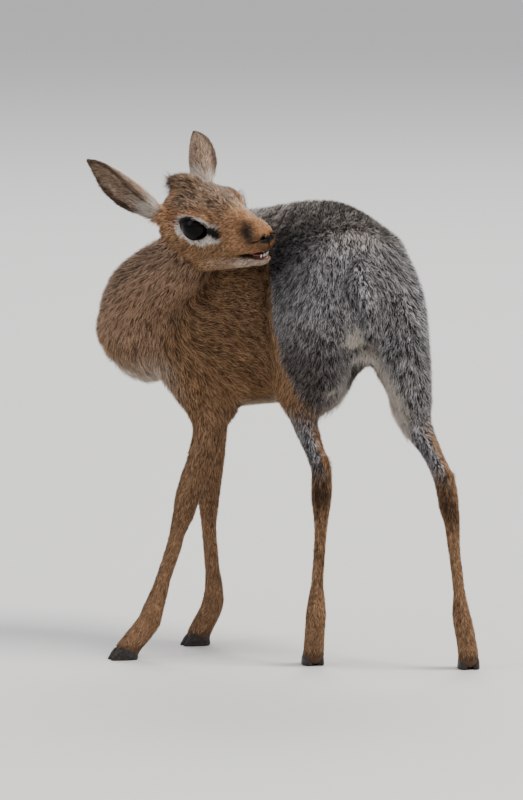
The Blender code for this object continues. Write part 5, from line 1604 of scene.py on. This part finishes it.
# ---------------------------------------------------------------- mouth, lashes and whiskers
def strands(name, starts, ways, lengths, widths, bends, mat, segments=5):
    """Tapering bent threads as one closed mesh."""
    pts, faces = [], []
    for a, w, l, r, bend in zip(starts, ways, lengths, widths, bends):
        w = unit(w)
        s = unit(np.cross(w, bend if abs(w @ unit(bend)) < 0.95 else (0.3, 0.5, 0.8)))
        b0 = len(pts)
        for k in range(segments):
            t = k / segments
            c = a + w * l * t + np.asarray(bend, float) * l * t * t
            rr = r * (1 - t) + 0.02
            u = np.cross(s, w)
            for q in range(3):
                g = 2 * math.pi * q / 3
                pts.append(c + rr * (math.cos(g) * s + math.sin(g) * u))
        pts.append(a + w * l + np.asarray(bend, float) * l)
        tip = len(pts) - 1
        for k in range(segments - 1):
            for q in range(3):
                i, j = b0 + k * 3 + q, b0 + k * 3 + (q + 1) % 3
                faces += [(i, j, j + 3), (i, j + 3, i + 3)]
        last = b0 + (segments - 1) * 3
        for q in range(3):
            faces.append((last + q, last + (q + 1) % 3, tip))
        faces.append((b0, b0 + 2, b0 + 1))
    ob = quick_mesh(name, to_part(np.array(pts)), np.array(faces), mat)
    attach(ob, "root")
    return ob


dark_hair = plain("dark_hair", (0.010, 0.008, 0.007), 0.45)
for side, nm in ((-1, "left"), (1, "right")):
    a_way, b_way, look = eye_axes(side)
    st, wy, ln, wd, bd = [], [], [], [], []
    for k in range(46):
        t = math.radians(20 + 140 * (k + 0.5 * rng.random()) / 46)
        a, b = EYE_OPEN[0] * 1.05 * math.cos(t), EYE_OPEN[1] * 1.07 * math.sin(t)
        c = math.sqrt(max((EYE_R + LID - 0.5) ** 2 - a * a - b * b, 1))
        st.append(eye_at(side) + a * a_way + b * b_way + c * look)
        wy.append(0.55 * look + 0.75 * b_way * math.sin(t) + (0.35 * math.cos(t) + 0.08 * rng.normal()) * a_way)
        ln.append(5.6 + 1.6 * math.sin(t) + 0.7 * rng.normal())
        wd.append(0.11)
        bd.append(-0.22 * b_way + 0.05 * look)
    strands("lashes_" + nm, st, wy, ln, wd, bd, dark_hair)
st, wy, ln, wd, bd = [], [], [], [], []
for side in (-1, 1):
    for k in range(9):
        b = 9 + 2.6 * (k % 5) + rng.uniform(-0.5, 0.5)
        u = -9.0 + 4.0 * (k // 5) + rng.uniform(-0.6, 0.6)
        wide = 11.5 + 0.16 * b
        st.append(head_point(b, side * (wide - 1.0), u))
        wy.append(head_way(0.30, side * 0.85, -0.35 + 0.1 * rng.normal()))
        ln.append(10 + 4 * rng.random())
        wd.append(0.09)
        bd.append(-0.12 * UP - 0.1 * FWD)
strands("whiskers", st, wy, ln, wd, bd, dark_hair)

# the lower front teeth stand in their gum, on the jaw
gum_c = []
teeth_pts, teeth_faces, teeth_cols = [], [], []


def add_egg(centre, radii, axes, colour, n=14, m=9):
    base = sum(len(x) for x in teeth_pts)
    grid = []
    for i in range(m + 1):
        for j in range(n):
            th, ph = math.pi * i / m, 2 * math.pi * j / n
            v = np.array([math.sin(th) * math.cos(ph), math.sin(th) * math.sin(ph), math.cos(th)])
            grid.append(np.asarray(centre) + sum(r * x * a for r, x, a in zip(radii, v, axes)))
    teeth_pts.append(np.array(grid))
    for i in range(m):
        for j in range(n):
            a, b = base + i * n + j, base + i * n + (j + 1) % n
            c, d = base + (i + 1) * n + (j + 1) % n, base + (i + 1) * n + j
            teeth_faces.append((a, d, b))
            teeth_faces.append((b, d, c))
    teeth_cols.append(np.tile(colour, (len(grid), 1)))


axes = (FWD, -LEFT, UP)
add_egg(head_point(16.0, 0, -16.8), (10.5, 5.4, 2.1), axes, PINK)
add_egg(head_point(18.0, 0, -14.2), (9.0, 4.2, 1.5), axes, PINK * 1.25)
for i, (x, w) in enumerate(((-3.6, 1.25), (-1.25, 1.35), (1.25, 1.35), (3.6, 1.25))):
    tilt = head_way(0.55, 0.04 * x, 1.0)
    add_egg(head_point(8.0 + 0.10 * x * x, x, -13.9), (0.8, 0.82 * w, 2.4), (unit(FWD - (FWD @ tilt) * tilt), -LEFT, tilt), rgb(0.62, 0.57, 0.49))
mouth_ob = quick_mesh("gum_and_teeth", to_part(np.vstack(teeth_pts)), np.array(teeth_faces), coloured("mouth", 0.25, 0.0, 0.5), np.vstack(teeth_cols))
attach(mouth_ob, "root")

# ---------------------------------------------------------------- floor, light and camera
floor_mat = bpy.data.materials.new("floor")
floor_mat.use_nodes = True
floor_mat.node_tree.nodes["Principled BSDF"].inputs["Base Color"].default_value = (0.62, 0.61, 0.59, 1)
floor_mat.node_tree.nodes["Principled BSDF"].inputs["Roughness"].default_value = 0.85
floor = quick_mesh("floor", np.array([(-40, -40, 0), (40, -40, 0), (40, 40, 0), (-40, 40, 0)], float), np.array([(0, 1, 2, 3)]), floor_mat, smooth=False)

world = bpy.data.worlds.new("world")
bpy.context.scene.world = world
world.use_nodes = True
world.node_tree.nodes["Background"].inputs["Color"].default_value = (0.93, 0.95, 1.0, 1)
world.node_tree.nodes["Background"].inputs["Strength"].default_value = 0.7


def area_light(name, at, size, power, colour=(1, 1, 1)):
    """at is on the plan grid in metres from the middle of the animal."""
    l = bpy.data.lights.new(name, "AREA")
    l.shape, l.size, l.size_y, l.energy, l.color = "RECTANGLE", size[0], size[1], power, colour
    o = bpy.data.objects.new(name, l)
    bpy.context.scene.collection.objects.link(o)
    middle = Vector(to_part((-40, 60, 240))[0])
    o.location = middle + Vector(way_to_part(at))
    o.rotation_euler = (o.location - middle).to_track_quat("Z", "Y").to_euler()
    return o


area_light("key", (3.0, -1.7, 4.6), (2.0, 2.0), 270, (1.0, 0.975, 0.94))
area_light("fill", (-4.4, -2.6, 2.4), (3.0, 3.0), 42, (0.95, 0.97, 1.0))
area_light("rim", (0.3, 4.4, 3.6), (3.0, 2.0), 120, (1.0, 0.99, 0.97))

camera = bpy.data.cameras.new("camera")
cam = bpy.data.objects.new("camera", camera)
bpy.context.scene.collection.objects.link(cam)
AZIMUTH, ELEVATION, DISTANCE, TALL = math.radians(120.0), math.radians(6.5), 7.0, 0.6936
back_way = Vector((math.sin(AZIMUTH) * math.cos(ELEVATION), -math.cos(AZIMUTH) * math.cos(ELEVATION), math.sin(ELEVATION)))
cam.location = Vector(to_part((-44.65, 60.0, 224.4))[0]) + back_way * DISTANCE
cam.rotation_euler = back_way.to_track_quat("Z", "Y").to_euler()
camera.sensor_fit = "VERTICAL"
camera.sensor_height = 24.0
camera.lens = 24.0 / 2 / math.tan(math.atan(TALL / 2 / DISTANCE))
camera.clip_end = 200.0
bpy.context.scene.camera = cam
bpy.context.scene.view_settings.view_transform = "AgX"
bpy.context.scene.view_settings.look = "AgX - Medium High Contrast"

# ---------------------------------------------------------------- sizes
for ob in [o for o in bpy.context.scene.objects if o.type == "MESH" and o is not floor and not o.hide_render]:
    co = np.empty(len(ob.data.vertices) * 3)
    ob.data.vertices.foreach_get("co", co)
